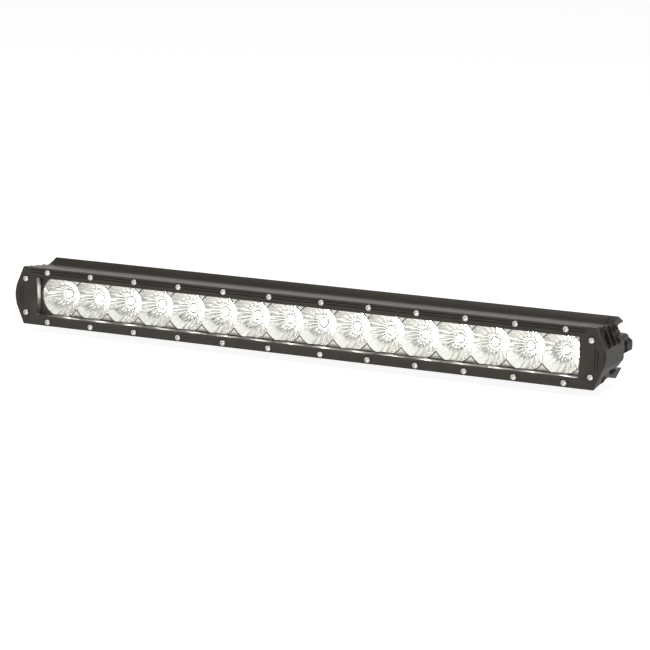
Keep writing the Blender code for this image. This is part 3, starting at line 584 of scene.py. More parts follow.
def fill_between(shape, loops):
    """Fill a flat face that has holes, from closed loops of vertices."""
    edges = []
    for loop in loops:
        for index, vertex in enumerate(loop):
            after = loop[(index + 1) % len(loop)]
            edges.append(shape.edges.get((vertex, after)) or shape.edges.new((vertex, after)))
    bmesh.ops.triangle_fill(shape, use_beauty=True, use_dissolve=False, edges=edges)


def groove_spans(z):
    """Stretches of a groove at height z between the screw seats that it meets."""
    reach = SEAT_RADIUS + EDGE_CHAMFER
    stops = sorted(x for x, row in screw_centres().values() if abs(row - z) < SEAT_RADIUS)
    stops = [x for x in stops if abs(x) < GROOVE_END]
    starts = [-GROOVE_END] + [x + reach for x in stops]
    ends = [x - reach for x in stops] + [GROOVE_END]
    return [(start, end) for start, end in zip(starts, ends) if end - start > GROOVE_SHORTEST]


def add_groove(shape, start, end):
    """A V groove in the front face between two (x, z) points; returns its rim."""
    start, end = Vector(start), Vector(end)
    along = (end - start).normalized()
    across = Vector((-along.y, along.x)) * GROOVE_HALF
    rim = (start - across, end - across, end + across, start + across)
    loop = [shape.verts.new((place.x, 0.0, place.y)) for place in rim]
    floor = (start + along * GROOVE_SLOPE, end - along * GROOVE_SLOPE)
    low, high = [shape.verts.new((place.x, GROOVE_DEPTH, place.y)) for place in floor]
    shape.faces.new((loop[0], loop[1], high, low))
    shape.faces.new((loop[1], loop[2], high))
    shape.faces.new((loop[2], loop[3], low, high))
    shape.faces.new((loop[3], loop[0], low))
    return loop


def make_bezel():
    """The frame round the window: outer wall, scooped mouth, screw seats, grooves and lip."""
    shape = bmesh.new()
    stations = [(EDGE_CHAMFER, 0.0), (0.0, EDGE_CHAMFER)] + [(0.0, y) for y in END_ROUND_STATIONS]
    stations += [(0.0, END_ROUND), (0.0, BEZEL_THICK - EDGE_CHAMFER), (EDGE_CHAMFER, BEZEL_THICK)]
    sides = []
    for inset, y in stations:
        sides.append([shape.verts.new((x, y, z)) for x, z in bezel_outline(inset, y)])
    bridge_all(shape, sides)

    mouth = mouth_rows(shape)
    bridge_all(shape, mouth)

    front_loops = [sides[0], mouth[0]]
    back_loops = [sides[-1]]
    for x, z in screw_centres().values():
        stations = ((0.0, SEAT_RADIUS + EDGE_CHAMFER), (EDGE_CHAMFER, SEAT_RADIUS), (SEAT_DEPTH, SEAT_RADIUS),
                    (SEAT_DEPTH, BORE_RADIUS), (BEZEL_THICK, BORE_RADIUS))
        rings = turned_rings(shape, "Y", (x, z), stations, SEAT_SIDES)
        bridge_all(shape, rings)
        front_loops.append(rings[0])
        back_loops.append(rings[-1])

    for z in GROOVE_ROWS:
        for start, end in groove_spans(z):
            front_loops.append(add_groove(shape, (start, z), (end, z)))
    for x, high in END_GROOVES:
        for side in (-1, 1):
            front_loops.append(add_groove(shape, (side * x, -high), (side * x, high)))
    fill_between(shape, front_loops)

    # Lip that sits in the housing and presses on the lens.
    outline = rectangle(size("lens").x / 2, size("lens").z / 2)
    lip = [[shape.verts.new((x, y, z)) for x, z in outline] for y in (BEZEL_THICK, LIP_BACK)]
    bridge(shape, lip[0], lip[1])
    fill_between(shape, back_loops + [lip[0]])
    fill_between(shape, [lip[1], mouth[-1]])
    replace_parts(new_piece("bezel_frame", shape, "black_coat", smooth_angle=28.0), "bezel")


# ---- screws

def thread_stations(start, end, radius, pitch, depth):
    """Rings of a screw thread, as equal ridges along a shank."""
    stations = []
    count = int(abs(end - start) / pitch)
    step = (end - start) / count
    for index in range(count):
        along = start + index * step
        stations += [(along, radius - depth), (along + step * 0.5, radius)]
    return stations + [(end, radius - depth), (end, radius * 0.5)]


SCREW_SIDES = 36
SOCKET = 0.00135
SHANK = 0.0015


def make_bezel_screws():
    """Low socket heads with a hexagon recess whose walls carry painted shade; all share one mesh."""
    top = -SCREW_HEAD_PROUD
    edge = SCREW_HEAD_RADIUS
    under = SEAT_DEPTH - 0.0003
    shape = bmesh.new()
    stations = [
        (top + 0.0018, 0.0002), (top + 0.0015, SOCKET, UNCUT), (top + 0.00018, SOCKET, UNCUT),
        (top + 0.00006, SOCKET + 0.00018), (top, SOCKET + 0.00030), (top, edge - 0.00045),
        (top + 0.00008, edge - 0.00022), (top + 0.00030, edge - 0.00004), (top + 0.00050, edge),
        (under, edge), (under, SHANK),
    ]
    stations += thread_stations(0.0012, depths(SCREWS[0])[1], SHANK, pitch=0.0005, depth=0.0002)
    add_turned(shape, "Y", (0.0, 0.0), stations, SCREW_SIDES)
    bmesh.ops.recalc_face_normals(shape, faces=shape.faces)
    # Faces of the socket's walls get the painted shade material; the rest of the screw stays stainless.
    for face in shape.faces:
        centre = face.calc_center_median()
        face.material_index = int(0.75 * SOCKET < math.hypot(centre.x, centre.z) < SOCKET)
    mesh = shaded_mesh("bezel_screw_mesh", shape, 32.0)
    mesh.materials.append(MATERIALS["stainless"])
    mesh.materials.append(PAINTED_SHADE)
    for number, (name, (x, z)) in enumerate(screw_centres().items()):
        piece = link_piece(f"{name}_detail", mesh, "stainless", origin=BAR + Vector((x, 0.0, z)))
        piece.rotation_euler.y = math.radians(17 + 73 * number)
        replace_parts(piece, name)


SIDES = {"left": -1, "right": 1}


def outer_and_inner(name, side):
    """A node's two ends along X, the one farther out on its side first."""
    low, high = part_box(name)
    return (high.x, low.x) if side > 0 else (low.x, high.x)


def make_cap_screws():
    """Button heads on the caps' side plates, axis along X."""
    for label, side in SIDES.items():
        for number in range(1, 5):
            name = f"end_cap_screw_{label}_{number}"
            seat_radius = size(name).z / 2
            top, end = outer_and_inner(name, side)
            centre = (middle(name).y, middle(name).z)
            head = [(0.0015, 0.0002), (0.0012, 0.0013, UNCUT), (0.0002, 0.0013, UNCUT), (0.0, 0.0016),
                    (0.0, 0.0019), (0.0003, 0.0026), (0.0008, 0.0031), (0.0014, seat_radius),
                    (0.0019, seat_radius), (0.0019, 0.0020)]
            stations = [(top - side * deep, *radii) for deep, *radii in head]
            stations += thread_stations(top - side * 0.0026, end, 0.0020, pitch=0.0007, depth=0.0003)
            turned_detail(name, "X", centre, stations, "black_steel", origin=Vector(), sides=SCREW_SIDES)


# ---- housing

# Places are Y and Z in the bar's axes; the lower half mirrors the upper one.
GAP = 0.0003
FLANK_FRONT_Y = BEZEL_THICK + GAP
FLANK_FRONT_Z = 0.0258
FLANK_STEPS = 12
FLANK_CURVE = 1.6
VALLEY = (0.0415, 0.0218)
RIDGE_APEX = (0.0562, 0.0265)
RIDGE_CREST = ((0.0012, -0.0001), (0.0030, -0.0006), (0.0052, -0.0017))
RIDGE_TIP = (0.0706, 0.0202)
NOSE_ROOT = (0.0570, 0.0180)
NOSE = (0.0666, 0.0100)
FIN_SLOT_TOPS = (0.0162, 0.0128)
FIN_SLOT_HEIGHT = 0.0015
FIN_SLOT_DEPTH = 0.0045
TONGUE_BACK = 0.0547
TONGUE_NECK = 0.0078
TONGUE_HALF = 0.0096
RAIL_SEAT = 0.0563
RAIL_SKIN = 0.0010
CHANNEL_MOUTH_HALF = 0.0042
CHANNEL_HALF = 0.0062
CHANNEL_LIP = 0.0625
CHANNEL_FLOOR = 0.0560
CHAMBER_FRONT, CHAMBER_BACK, CHAMBER_HALF_HEIGHT = 0.0330, 0.0505, 0.0130


def nose_y(z):
    """Y of the rails' sloping back at a height."""
    part = (NOSE_ROOT[1] - z) / (NOSE_ROOT[1] - NOSE[1])
    return NOSE_ROOT[0] + (NOSE[0] - NOSE_ROOT[0]) * part


def housing_upper():
    """Upper half of the extrusion's outline, from the front edge to the channel's floor."""
    points = [(FLANK_FRONT_Y, FLANK_FRONT_Z - 0.0008), (FLANK_FRONT_Y + 0.0006, FLANK_FRONT_Z)]
    for step in range(FLANK_STEPS + 1):
        part = step / FLANK_STEPS
        y = VALLEY[0] + (RIDGE_APEX[0] - VALLEY[0]) * part
        z = VALLEY[1] + (RIDGE_APEX[1] - VALLEY[1]) * part ** FLANK_CURVE
        points.append((y, z))
    points += [(RIDGE_APEX[0] + y, RIDGE_APEX[1] + z) for y, z in RIDGE_CREST]
    points += [(RIDGE_TIP[0] - 0.0006, RIDGE_TIP[1] + 0.0006)]
    points += [RIDGE_TIP, (RIDGE_TIP[0] - 0.0006, RIDGE_TIP[1] - 0.0006)]
    points += [(NOSE_ROOT[0] + 0.0012, NOSE_ROOT[1] + 0.0012), (CHANNEL_FLOOR, NOSE_ROOT[1])]
    neck, groove, hook = TONGUE_NECK + GAP, TONGUE_HALF + GAP, TONGUE_BACK + GAP
    land = CHANNEL_HALF - GAP
    points += [(CHANNEL_FLOOR, neck), (hook, neck), (hook, groove), (RAIL_FRONT - GAP, groove)]
    return points + [(RAIL_FRONT - GAP, land), (CHANNEL_FLOOR, land)]


def make_mounting_rails():
    """The finned sides of the T-channel, with hooked tongues in the housing's grooves."""
    section = [(RAIL_FRONT, TONGUE_HALF), (TONGUE_BACK, TONGUE_HALF), (TONGUE_BACK, TONGUE_NECK)]
    section += [(RAIL_SEAT, TONGUE_NECK), (RAIL_SEAT, RAIL_TOP), (nose_y(RAIL_TOP), RAIL_TOP)]
    for top in FIN_SLOT_TOPS:
        bottom = top - FIN_SLOT_HEIGHT
        floor = max(nose_y(top) - FIN_SLOT_DEPTH, RAIL_SEAT + RAIL_SKIN)
        section += [(nose_y(top), top), (floor, top), (floor, bottom), (nose_y(bottom), bottom)]
    section += [NOSE, (NOSE[0], CHANNEL_MOUTH_HALF), (CHANNEL_LIP, CHANNEL_MOUTH_HALF)]
    section += [(CHANNEL_LIP, CHANNEL_HALF), (RAIL_FRONT, CHANNEL_HALF)]
    for label, row in (("upper", 1), ("lower", -1)):
        outline = filleted([(y, row * z) for y, z in section], 0.0004, 3)
        shape = bmesh.new()
        add_prism(shape, "X", outline, -HOUSING_HALF, HOUSING_HALF)
        piece = new_piece(f"mounting_rail_{label}_extrusion", shape, "black_coat", smooth_angle=24.0)
        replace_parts(piece, f"mounting_rail_{label}")


def make_housing():
    """The extrusion, with its lens recess, its cavity for the light engine and the driver's chamber."""
    upper = housing_upper()
    outline = filleted(upper + [(y, -z) for y, z in reversed(upper)], 0.0005, 3)
    shape = bmesh.new()
    add_prism(shape, "X", outline, -HOUSING_HALF, HOUSING_HALF)
    piece = new_piece("housing_extrusion", shape, "black_coat", smooth_angle=24.0)
    recess_half, recess_high = size("lens").x / 2 + GAP, size("lens").z / 2 + GAP
    recess_back = depths("lens_gasket")[1] + GAP
    cavity_half, cavity_high = REFLECTOR_HALF + GAP, REFLECTOR_HALF_HEIGHT + GAP
    past = 0.01
    for half, high, front, back in (
        (recess_half, recess_high, -past, recess_back),
        (cavity_half, cavity_high, 0.0, BOARD_BACK + GAP),
        (HOUSING_HALF + past, CHAMBER_HALF_HEIGHT, CHAMBER_FRONT, CHAMBER_BACK),
    ):
        pocket = bmesh.new()
        add_prism(pocket, "X", rectangle((back - front) / 2, high, (front + back) / 2), -half, half)
        cut_with(piece, pocket)
    piece.data.set_sharp_from_angle(angle=math.radians(24))
    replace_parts(piece, "housing")


# ---- coated castings

def softened(node, name, slot, body, voxel, passes, keep):
    """A copy of a CAD node with its edges and corners rounded, as on a coated casting."""
    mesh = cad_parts[node].data.copy()
    mesh.materials.clear()
    shape = bmesh.new()
    shape.from_mesh(mesh)
    bmesh.ops.remove_doubles(shape, verts=shape.verts, dist=1e-6)
    shape.to_mesh(mesh)
    shape.free()
    made = link_object(name, mesh)
    remesh = made.modifiers.new("remesh", "REMESH")
    remesh.mode = "VOXEL"
    remesh.voxel_size = voxel
    smooth = made.modifiers.new("smooth", "SMOOTH")
    smooth.factor = 0.5
    smooth.iterations = passes
    thin = made.modifiers.new("thin", "DECIMATE")
    thin.ratio = keep
    apply_modifiers(made)
    made.data.name = name
    made.data.shade_smooth()
    made.data.set_sharp_from_angle(angle=math.radians(40))
    recoat(made, MATERIALS[slot])
    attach(made, body)
    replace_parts(made, node)


def make_castings():
    for label in SIDES:
        softened(f"end_cap_{label}", f"end_cap_{label}_casting", "black_coat", "bar",
                 voxel=0.00032, passes=3, keep=0.35)
        softened(f"slide_block_{label}", f"slide_block_{label}_detail", "black_steel", f"{label}_slider",
                 voxel=0.0003, passes=2, keep=0.5)
        softened(f"foot_{label}", f"foot_{label}_bracket", "black_steel", f"{label}_foot",
                 voxel=0.00035, passes=3, keep=0.4)


# ---- light engine

def led_xs():
    return [(index - (LED_COUNT - 1) / 2) * LED_PITCH for index in range(LED_COUNT)]


def cup_depth(radius):
    """How far a cup's wall lies behind the reflector's front at a radius."""
    part = (radius - THROAT_RADIUS) / (CUP_RADIUS - THROAT_RADIUS)
    return (REFLECTOR_BACK - REFLECTOR_FRONT) * (1 - part ** 2)


PETAL_BULGE = 0.00055
PETAL_RISE = 0.25
CUP_ROWS = 12
STEPS_PER_PETAL = 6
ARRAY_CHAMFER = 0.0015
CORNER_CLEAR = math.radians(1.0)
NEAR = 2e-6

# Angles at which a cup's rim meets its neighbour's, and the array's long edge.
NEIGHBOUR_ANGLE = math.acos(LED_PITCH / 2 / CUP_RADIUS)
EDGE_ANGLE = math.asin(REFLECTOR_HALF_HEIGHT / CUP_RADIUS)


def cup_angles():
    """Angles round a cup: equal steps, with those where its outline has a corner."""
    corners = [NEIGHBOUR_ANGLE, EDGE_ANGLE]
    count = PETALS * STEPS_PER_PETAL // 4
    equal = [math.pi / 2 * step / count for step in range(count + 1)]
    clear = [angle for angle in equal if all(abs(angle - other) > CORNER_CLEAR for other in corners)]
    quarter = sorted(corners + clear)
    half = quarter + [math.pi - angle for angle in reversed(quarter[:-1])]
    return half + [angle + math.pi for angle in half[1:-1]]


def cup_limit(angle, first, last):
    """How far a cup reaches before the array's edge or its neighbour's half."""
    cosine, sine = math.cos(angle), math.sin(angle)
    reach = CUP_RADIUS
    if abs(sine) > 1e-6:
        reach = min(reach, REFLECTOR_HALF_HEIGHT / abs(sine))
    if (cosine > 1e-6 and not last) or (cosine < -1e-6 and not first):
        reach = min(reach, LED_PITCH / 2 / abs(cosine))
    return reach


def add_cup(shape, x, first, last):
    """The petalled wall of one cup, open at its throat and outer edge."""
    petal = 2 * math.pi / PETALS
    columns = []
    for angle in cup_angles():
        reach = cup_limit(angle, first, last)
        within = (angle / petal) % 1.0 * 2 - 1
        column = []
        for row in range(CUP_ROWS + 1):
            radius = THROAT_RADIUS + (reach - THROAT_RADIUS) * row / CUP_ROWS
            share = (radius - THROAT_RADIUS) / (CUP_RADIUS - THROAT_RADIUS)
            swell = min(share / PETAL_RISE, 1.0)
            y = REFLECTOR_FRONT + cup_depth(radius) + PETAL_BULGE * (1 - within ** 2) * swell
            y = min(y, REFLECTOR_BACK)
            column.append(shape.verts.new((x + radius * math.cos(angle), y, radius * math.sin(angle))))
        rim = REFLECTOR_FRONT + (cup_depth(reach) if reach < CUP_RADIUS - 1e-6 else 0.0)
        column.append(shape.verts.new((x + reach * math.cos(angle), rim, reach * math.sin(angle))))
        columns.append(column)
    for index, column in enumerate(columns):
        after = columns[(index + 1) % len(columns)]
        for row in range(CUP_ROWS + 1):
            shape.faces.new((column[row], column[row + 1], after[row + 1], after[row]))


def add_line(shape, points):
    made = [shape.verts.new(point) for point in points]
    for start, end in zip(made, made[1:]):
        shape.edges.new((start, end))


def fill_plane(shape, normal, reach):
    """Fill what is open in a plane, given by its normal and distance from the bar's origin."""
    def is_on(vertex):
        return abs(vertex.co.dot(normal) - reach) < NEAR

    edges = [edge for edge in shape.edges if len(edge.link_faces) < 2 and all(map(is_on, edge.verts))]
    bmesh.ops.triangle_fill(shape, use_beauty=True, use_dissolve=False, edges=edges)


def make_reflector():
    """The petalled cups and their block; their flat beyond the first cup, at the left end only, carries
    painted shade.
    """
    xs = led_xs()
    shape = bmesh.new()
    for index, x in enumerate(xs):
        add_cup(shape, x, index == 0, index == LED_COUNT - 1)
    front, back = REFLECTOR_FRONT, REFLECTOR_BACK
    half, high = REFLECTOR_HALF, REFLECTOR_HALF_HEIGHT
    edge = CUP_RADIUS * math.cos(EDGE_ANGLE)
    margin = xs[-1] + edge
    for x, after in zip(xs, xs[1:]):
        for z in (high, -high):
            add_line(shape, [(x + edge, front, z), (after - edge, front, z)])
    corner = half - ARRAY_CHAMFER
    for side in (-1, 1):
        profile = [(side * margin, high), (side * corner, high), (side * half, high - ARRAY_CHAMFER)]
        profile += [(u, -v) for u, v in reversed(profile)]
        add_line(shape, [(u, front, v) for u, v in profile])
        add_line(shape, [(u, back, v) for u, v in profile[1:-1]])
        for u, v in profile[1:-1]:
            add_line(shape, [(u, front, v), (u, back, v)])
    for z in (high, -high):
        add_line(shape, [(-corner, back, z), (corner, back, z)])
    bmesh.ops.remove_doubles(shape, verts=shape.verts, dist=NEAR)

    fill_plane(shape, Vector((0, 1, 0)), front)
    fill_plane(shape, Vector((0, 0, 1)), high)
    fill_plane(shape, Vector((0, 0, -1)), high)
    fill_plane(shape, Vector((0, 1, 0)), back)
    for side in (-1, 1):
        for z in (1, -1):
            fill_plane(shape, Vector((side, 0, z)), half + high - ARRAY_CHAMFER)
        fill_plane(shape, Vector((side, 0, 0)), half)
    # Painted shade on the front flat beyond the first cup, at the left end only; the right end's flat stays
    # chrome.
    for face in shape.faces:
        centre = face.calc_center_median()
        face.material_index = int(centre.x < -margin and abs(centre.y - front) < NEAR)
    piece = new_piece("reflector_cups", shape, "chrome", smooth_angle=26.0)
    piece.data.materials.append(PAINTED_SHADE)
    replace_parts(piece, "reflector_array")


BEAD = 0.00055
BEAD_PROUD = 0.00025
BEAD_CENTRE = CUP_RADIUS + BEAD * 0.6
BEAD_SIDES = 8


def rim_spans(first, last):
    """Stretches of a cup's rim beside the flat webs, in degrees."""
    apex = math.degrees(NEIGHBOUR_ANGLE) + 1.0
    edge = math.degrees(EDGE_ANGLE) - 0.5
    right = [(-edge, edge)] if last else [(apex, edge), (-edge, -apex)]
    left = [(180 - edge, 180 + edge)] if first else [(180 - edge, 180 - apex), (180 + apex, 180 + edge)]
    return right + left


def make_rims():
    """A thin rolled edge along each cup's rim where it meets the flat webs, coated in painted shade."""
    shape = bmesh.new()
    for index, x in enumerate(led_xs()):
        for start, end in rim_spans(index == 0, index == LED_COUNT - 1):
            steps = max(6, int((end - start) / 3))
            rings = []
            for step in range(steps + 1):
                turn = math.radians(start + (end - start) * step / steps)
                out = Vector((math.cos(turn), 0.0, math.sin(turn)))
                centre = Vector((x, REFLECTOR_FRONT + BEAD - BEAD_PROUD, 0.0)) + out * BEAD_CENTRE
                ring = []
                for side in range(BEAD_SIDES):
                    angle = 2 * math.pi * side / BEAD_SIDES
                    offset = out * math.cos(angle) + Vector((0.0, 1.0, 0.0)) * math.sin(angle)
                    ring.append(shape.verts.new(centre + offset * BEAD))
                rings.append(ring)
            bridge_all(shape, rings)
            shape.faces.new(rings[0])
            shape.faces.new(rings[-1])
    # The rims carry painted shade rather than chrome.
    recoat(new_piece("reflector_rims", shape, "chrome"), PAINTED_SHADE)


BOARD_THICK = 0.0016
PACKAGE_HALF = 0.0024
PACKAGE_PROUD = 0.0008
DOME_RADIUS = 0.0025
DOME_HEIGHT = 0.0013
DOME_STEPS = 6
DOME_TIP = 0.00005


def make_led_board():
    """The board, and on it each LED's square package under a lit dome."""
    front = BOARD_BACK - BOARD_THICK
    outline = filleted(rectangle(size("led_board").x / 2, size("led_board").z / 2), 0.0015, 4)
    shape = bmesh.new()
    add_prism(shape, "Y", outline, front, BOARD_BACK)
    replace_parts(new_piece("led_board_plate", shape, "circuit_board"), "led_board")
    bases = bmesh.new()
    domes = bmesh.new()
    base_front = front - PACKAGE_PROUD
    for x in led_xs():
        square = filleted(rectangle(PACKAGE_HALF, PACKAGE_HALF, x), 0.0004, 2)
        add_prism(bases, "Y", square, base_front, front + 0.0002)
        dome = [(base_front + 0.0002, DOME_RADIUS)]
        for step in range(DOME_STEPS + 1):
            angle = math.pi / 2 * step / DOME_STEPS
            reach = max(DOME_RADIUS * math.cos(angle), DOME_TIP)
            dome.append((base_front - DOME_HEIGHT * math.sin(angle), reach))
        add_turned(domes, "Y", (x, 0.0), dome, 24)
    new_piece("led_packages", bases, "circuit_board")
    recoat(new_piece("led_domes", domes, "circuit_board"), GLOW)


def make_lens():
    """A clear pane with broken edges."""
    half_x, half_z = size("lens").x / 2, size("lens").z / 2
    shape = bmesh.new()
    inset = 0.0003
    rows = []
    stations = ((inset, LENS_FRONT), (0.0, LENS_FRONT + inset), (0.0, LENS_BACK - inset), (inset, LENS_BACK))
    for shrink, y in stations:
        outline = filleted(rectangle(half_x - shrink, half_z - shrink), 0.0006, 3)
        rows.append([shape.verts.new((u, y, v)) for u, v in outline])
    bridge_all(shape, rows)
    shape.faces.new(rows[0])
    shape.faces.new(rows[-1])
    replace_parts(new_piece("lens_pane", shape, "clear_lens"), "lens")


# ---- gland, vent and tilt bolts

PORT_BACK = 0.0540 + GAP
PORT_RADIUS = 0.0047


def gear(centre, count, outer, inner):
    """An outline with equal flat-topped ribs, for a knurled ring."""
    points = []
    for step in range(count * 4):
        angle = 2 * math.pi * step / (count * 4)
        reach = (outer, outer, inner, inner)[step % 4]
        points.append((centre[0] + reach * math.cos(angle), centre[1] + reach * math.sin(angle)))
    return points


def make_gland():
    """A gland with an open bore: neck, hexagon and thread, then the domed nut."""
    centre = (middle("cable_gland_body").x - BAR.x, 0.0)
    start, end = depths("cable_gland_body")
    flat = size("cable_gland_body").x / 2
    corner, cut = hexagon_corner(flat), flat * HEXAGON_CHAMFER
    bore, neck, hexagon_back, thread = 0.0033, 0.0062, 0.0668, 0.0052
    stations = [(start, bore), (start, PORT_RADIUS - 0.0005), (start + 0.0005, PORT_RADIUS),
                (PORT_BACK, PORT_RADIUS), (PORT_BACK, neck - 0.0002), (PORT_BACK + 0.0002, neck),
                (0.0610, neck), (0.0612, neck - 0.0003), (0.0615, neck - 0.0003), (0.0615, flat, cut),
                (0.0621, flat, corner), (hexagon_back - 0.0006, flat, corner), (hexagon_back, flat, cut),
                (hexagon_back, thread)]
    stations += [(hexagon_back + 0.0006 * step, thread - 0.0003 * (step % 2)) for step in range(1, 12)]
    stations += [(end, thread - 0.0005), (end, bore)]
    turned_detail("cable_gland_body", "Y", centre, stations, "black_nylon", looped=True)

    start, end = depths("cable_gland_nut")
    wide, mouth = 0.0055, 0.0036
    stations = [(start, wide), (start, flat, cut), (start + 0.0006, flat, corner),
                (0.0750, flat, corner), (0.0756, flat, cut), (0.0758, flat * 0.97),
                (0.0768, 0.0066), (0.0780, 0.0061), (0.0790, 0.0055), (0.0797, 0.0048), (end, 0.0042),
                (end - 0.0002, mouth), (0.0746, mouth), (0.0744, wide)]
    turned_detail("cable_gland_nut", "Y", centre, stations, "black_nylon", looped=True)


def make_vent():
    """A plug with a hexagon and a knurled cap."""
    centre = (middle("vent_plug").x - BAR.x, 0.0)
    start, end = depths("vent_plug")
    flat = size("vent_plug").x / 2
    corner, cut = hexagon_corner(flat), flat * HEXAGON_CHAMFER
    neck, rim = 0.0052, 0.0068
    hexagon_back, cap_front = PORT_BACK + 0.0040, PORT_BACK + 0.0052
    stations = [(start, PORT_RADIUS - 0.0005), (start + 0.0005, PORT_RADIUS), (PORT_BACK, PORT_RADIUS),
                (PORT_BACK, flat, cut), (PORT_BACK + 0.0005, flat, corner),
                (hexagon_back - 0.0005, flat, corner), (hexagon_back, flat, cut), (hexagon_back, neck),
                (cap_front, neck), (cap_front, rim - 0.0006), (end - 0.0014, rim - 0.0006),
                (end - 0.0008, rim - 0.0007), (end - 0.0003, rim - 0.0014), (end, rim - 0.0022),
                (end, 0.0024), (end - 0.0005, 0.0021), (end - 0.0005, 0.0004)]
    shape = bmesh.new()
    add_turned(shape, "Y", centre, stations)
    add_prism(shape, "Y", gear(centre, 24, rim, rim - 0.0004), cap_front + 0.0002, end - 0.0014)
    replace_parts(new_piece("vent_plug_detail", shape, "black_nylon"), "vent_plug")


BOLT_HEAD = 0.0052
BOLT_SHANK = 0.0030
BOLT_PLAIN = 0.0100
NUT_BORE = 0.0033
HEXAGON = (0.0050, 0.0058)
HEXAGON_END = (0.0049, 0.0050)
FLANGE_TOP = 0.0055


def make_tilt_bolts():
    """Flanged hexagon bolts and nuts on the feet's tilt axes."""
    for label, side in SIDES.items():
        name = f"pivot_bolt_{label}"
        centre = (middle(name).y, middle(name).z)
        head, tail = outer_and_inner(name, side)
        face = head - side * BOLT_HEAD
        flange = size(name).z / 2
        stations = [(head - side * 0.0004, 0.0030), (head - side * 0.0004, 0.0034), (head, 0.0037),
                    (head, *HEXAGON_END), (head - side * 0.0005, *HEXAGON), (face + side * 0.0016, *HEXAGON),
                    (face + side * 0.0012, FLANGE_TOP), (face + side * 0.0004, flange), (face, flange),
                    (face, BOLT_SHANK), (face - side * BOLT_PLAIN, BOLT_SHANK)]
        thread_start = face - side * (BOLT_PLAIN + 0.0002)
        stations += thread_stations(thread_start, tail, BOLT_SHANK, pitch=0.0010, depth=0.0003)
        turned_detail(name, "X", centre, stations, "stainless", f"{label}_foot", Vector())

        name = f"pivot_nut_{label}"
        face, end = outer_and_inner(name, side)
        stations = [(face, NUT_BORE), (face, flange), (face - side * 0.0005, flange),
                    (face - side * 0.0012, FLANGE_TOP), (face - side * 0.0015, *HEXAGON),
                    (end + side * 0.0005, *HEXAGON), (end, *HEXAGON_END), (end, 0.0036),
                    (end + side * 0.0004, NUT_BORE)]
        turned_detail(name, "X", centre, stations, "stainless", f"{label}_foot", Vector(), looped=True)


def finish_hidden_nodes():
    """The seals and the driver keep their CAD shapes and get their finishes."""
    finishes = {"lens_gasket": "seal_rubber", "end_gasket_left": "seal_rubber",
                "end_gasket_right": "seal_rubber", "driver_board": "driver_green"}
    for name, slot in finishes.items():
        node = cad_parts[name]
        recoat(node, MATERIALS[slot])


# ---- stage

LAMP_TONE = (1.0, 0.97, 0.91)

# Floor and backdrop, as the camera sees them and as light for the object.
FLOOR_HALF = 6.0
PAPER = 0.90
BACKDROP = 1.05
FLOOR_FILL = 0.42
HORIZON = 0.95
CEILING = 0.10
SIDE_SHADE = 0.15

# Each softbox: its place, width, height and power.
SOFTBOXES = {
    "key": ((0.7, -1.3, 1.7), 1.2, 0.9, 14.0),
    "top": ((-0.3, 0.6, 2.0), 2.0, 0.7, 11.0),
    "sweep": ((-0.9, 2.0, 0.35), 3.0, 0.7, 4.0),
    "front": ((-0.9, -1.9, 0.30), 1.4, 0.4, 5.0),
}


def make_camera():
    """A long lens, aimed by yaw and pitch and then rolled."""
    yaw, pitch, roll = CAMERA_YAW, CAMERA_PITCH, CAMERA_ROLL
    forward = Vector((-math.sin(yaw) * math.cos(pitch), math.cos(yaw) * math.cos(pitch), -math.sin(pitch)))
    right = Vector((math.cos(yaw), math.sin(yaw), 0.0))
    up = right.cross(forward)
    across = math.cos(roll) * right + math.sin(roll) * up
    above = math.cos(roll) * up - math.sin(roll) * right
    data = bpy.data.cameras.new("camera")
    data.sensor_width = SENSOR
    data.lens = CAMERA_LENS
    data.clip_start = 0.05
    data.clip_end = 50.0
    camera = link_object("camera", data)
    turn = Matrix((across, above, -forward)).transposed()
    camera.matrix_world = Matrix.Translation(BAR + CAMERA_PLACE) @ turn.to_4x4()
    bpy.context.scene.camera = camera


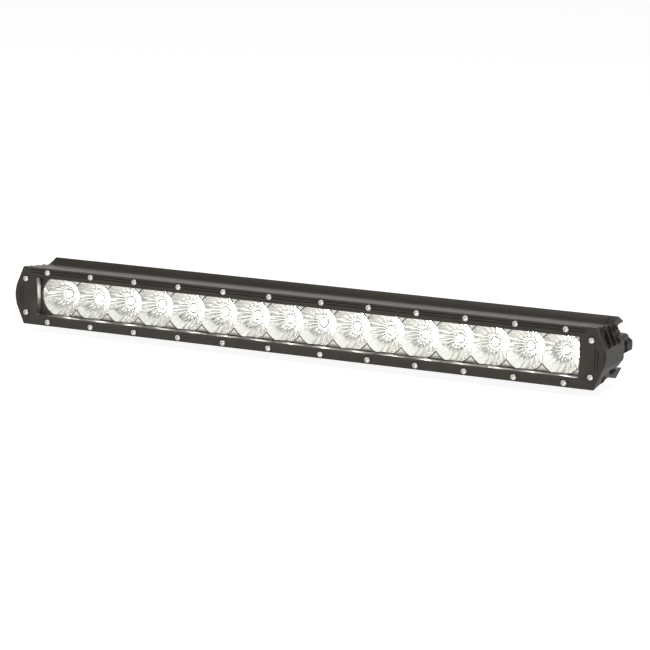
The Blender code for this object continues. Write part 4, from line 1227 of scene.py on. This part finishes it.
def make_floor():
    """White paper: a lit sweep to the camera, a dimmer fill to everything else."""
    mesh = bpy.data.meshes.new("floor")
    corners = [(x, y, 0.0) for x, y in rectangle(FLOOR_HALF, FLOOR_HALF)]
    mesh.from_pydata(corners, [], [(0, 1, 2, 3)])
    made, tree, shader = start_material("floor_paper", (0.50, 0.50, 0.50), 0.0, 0.9)
    where = place_of(tree)
    feed(shader, "Base Color",
         tinted(tree, noise(tree, where, 3.0), (0.49, 0.49, 0.49), (0.51, 0.51, 0.51)))
    shader.inputs["Specular IOR Level"].default_value = 0.0
    shader.inputs["Emission Color"].default_value = (1.0, 1.0, 1.0, 1.0)
    seen = add_node(tree, "ShaderNodeLightPath").outputs["Is Camera Ray"]
    feed(shader, "Emission Strength", between(tree, seen, FLOOR_FILL, PAPER, 0.0, 1.0))
    mesh.materials.append(made)
    link_object("floor", mesh)


def softbox(name, place, width, height, power):
    """A rectangular lamp turned to the bar."""
    data = bpy.data.lights.new(name, "AREA")
    data.shape = "RECTANGLE"
    data.size = width
    data.size_y = height
    data.energy = power
    data.color = LAMP_TONE
    made = link_object(name, data)
    made.location = place
    made.rotation_mode = "QUATERNION"
    made.rotation_quaternion = (BAR - Vector(place)).to_track_quat("-Z", "Y")


def make_lights():
    """Softboxes, and a sky that darkens upwards and towards +X; the camera sees it plain white."""
    for name, settings in SOFTBOXES.items():
        softbox(name, *settings)
    world = bpy.data.worlds.new("studio")
    bpy.context.scene.world = world
    world.use_nodes = True
    tree = world.node_tree
    tree.nodes.clear()
    way = add_node(tree, "ShaderNodeTexCoord").outputs["Generated"]
    split = add_node(tree, "ShaderNodeSeparateXYZ", {"Vector": way})
    rise = between(tree, split.outputs["Z"], HORIZON, CEILING, 0.0, 0.55)
    shade = between(tree, split.outputs["X"], 1.0, SIDE_SHADE, 0.1, 0.9)
    glow = add_node(tree, "ShaderNodeMath", {0: rise, 1: shade}, operation="MULTIPLY").outputs[0]
    seen = add_node(tree, "ShaderNodeLightPath").outputs["Is Camera Ray"]
    light = add_node(tree, "ShaderNodeBackground", {"Color": (*LAMP_TONE, 1.0), "Strength": glow})
    paper = add_node(tree, "ShaderNodeBackground", {"Color": (1.0, 1.0, 1.0, 1.0), "Strength": BACKDROP})
    mix = add_node(tree, "ShaderNodeMixShader", {0: seen, 1: light.outputs[0], 2: paper.outputs[0]})
    add_node(tree, "ShaderNodeOutputWorld", {"Surface": mix.outputs[0]})
    bpy.context.scene.view_settings.view_transform = "Standard"


make_camera()
make_floor()
make_lights()
make_bezel()
make_bezel_screws()
make_housing()
make_mounting_rails()
make_lens()
make_reflector()
make_rims()
make_led_board()
make_gland()
make_vent()
make_cap_screws()
make_tilt_bolts()
make_castings()
finish_hidden_nodes()
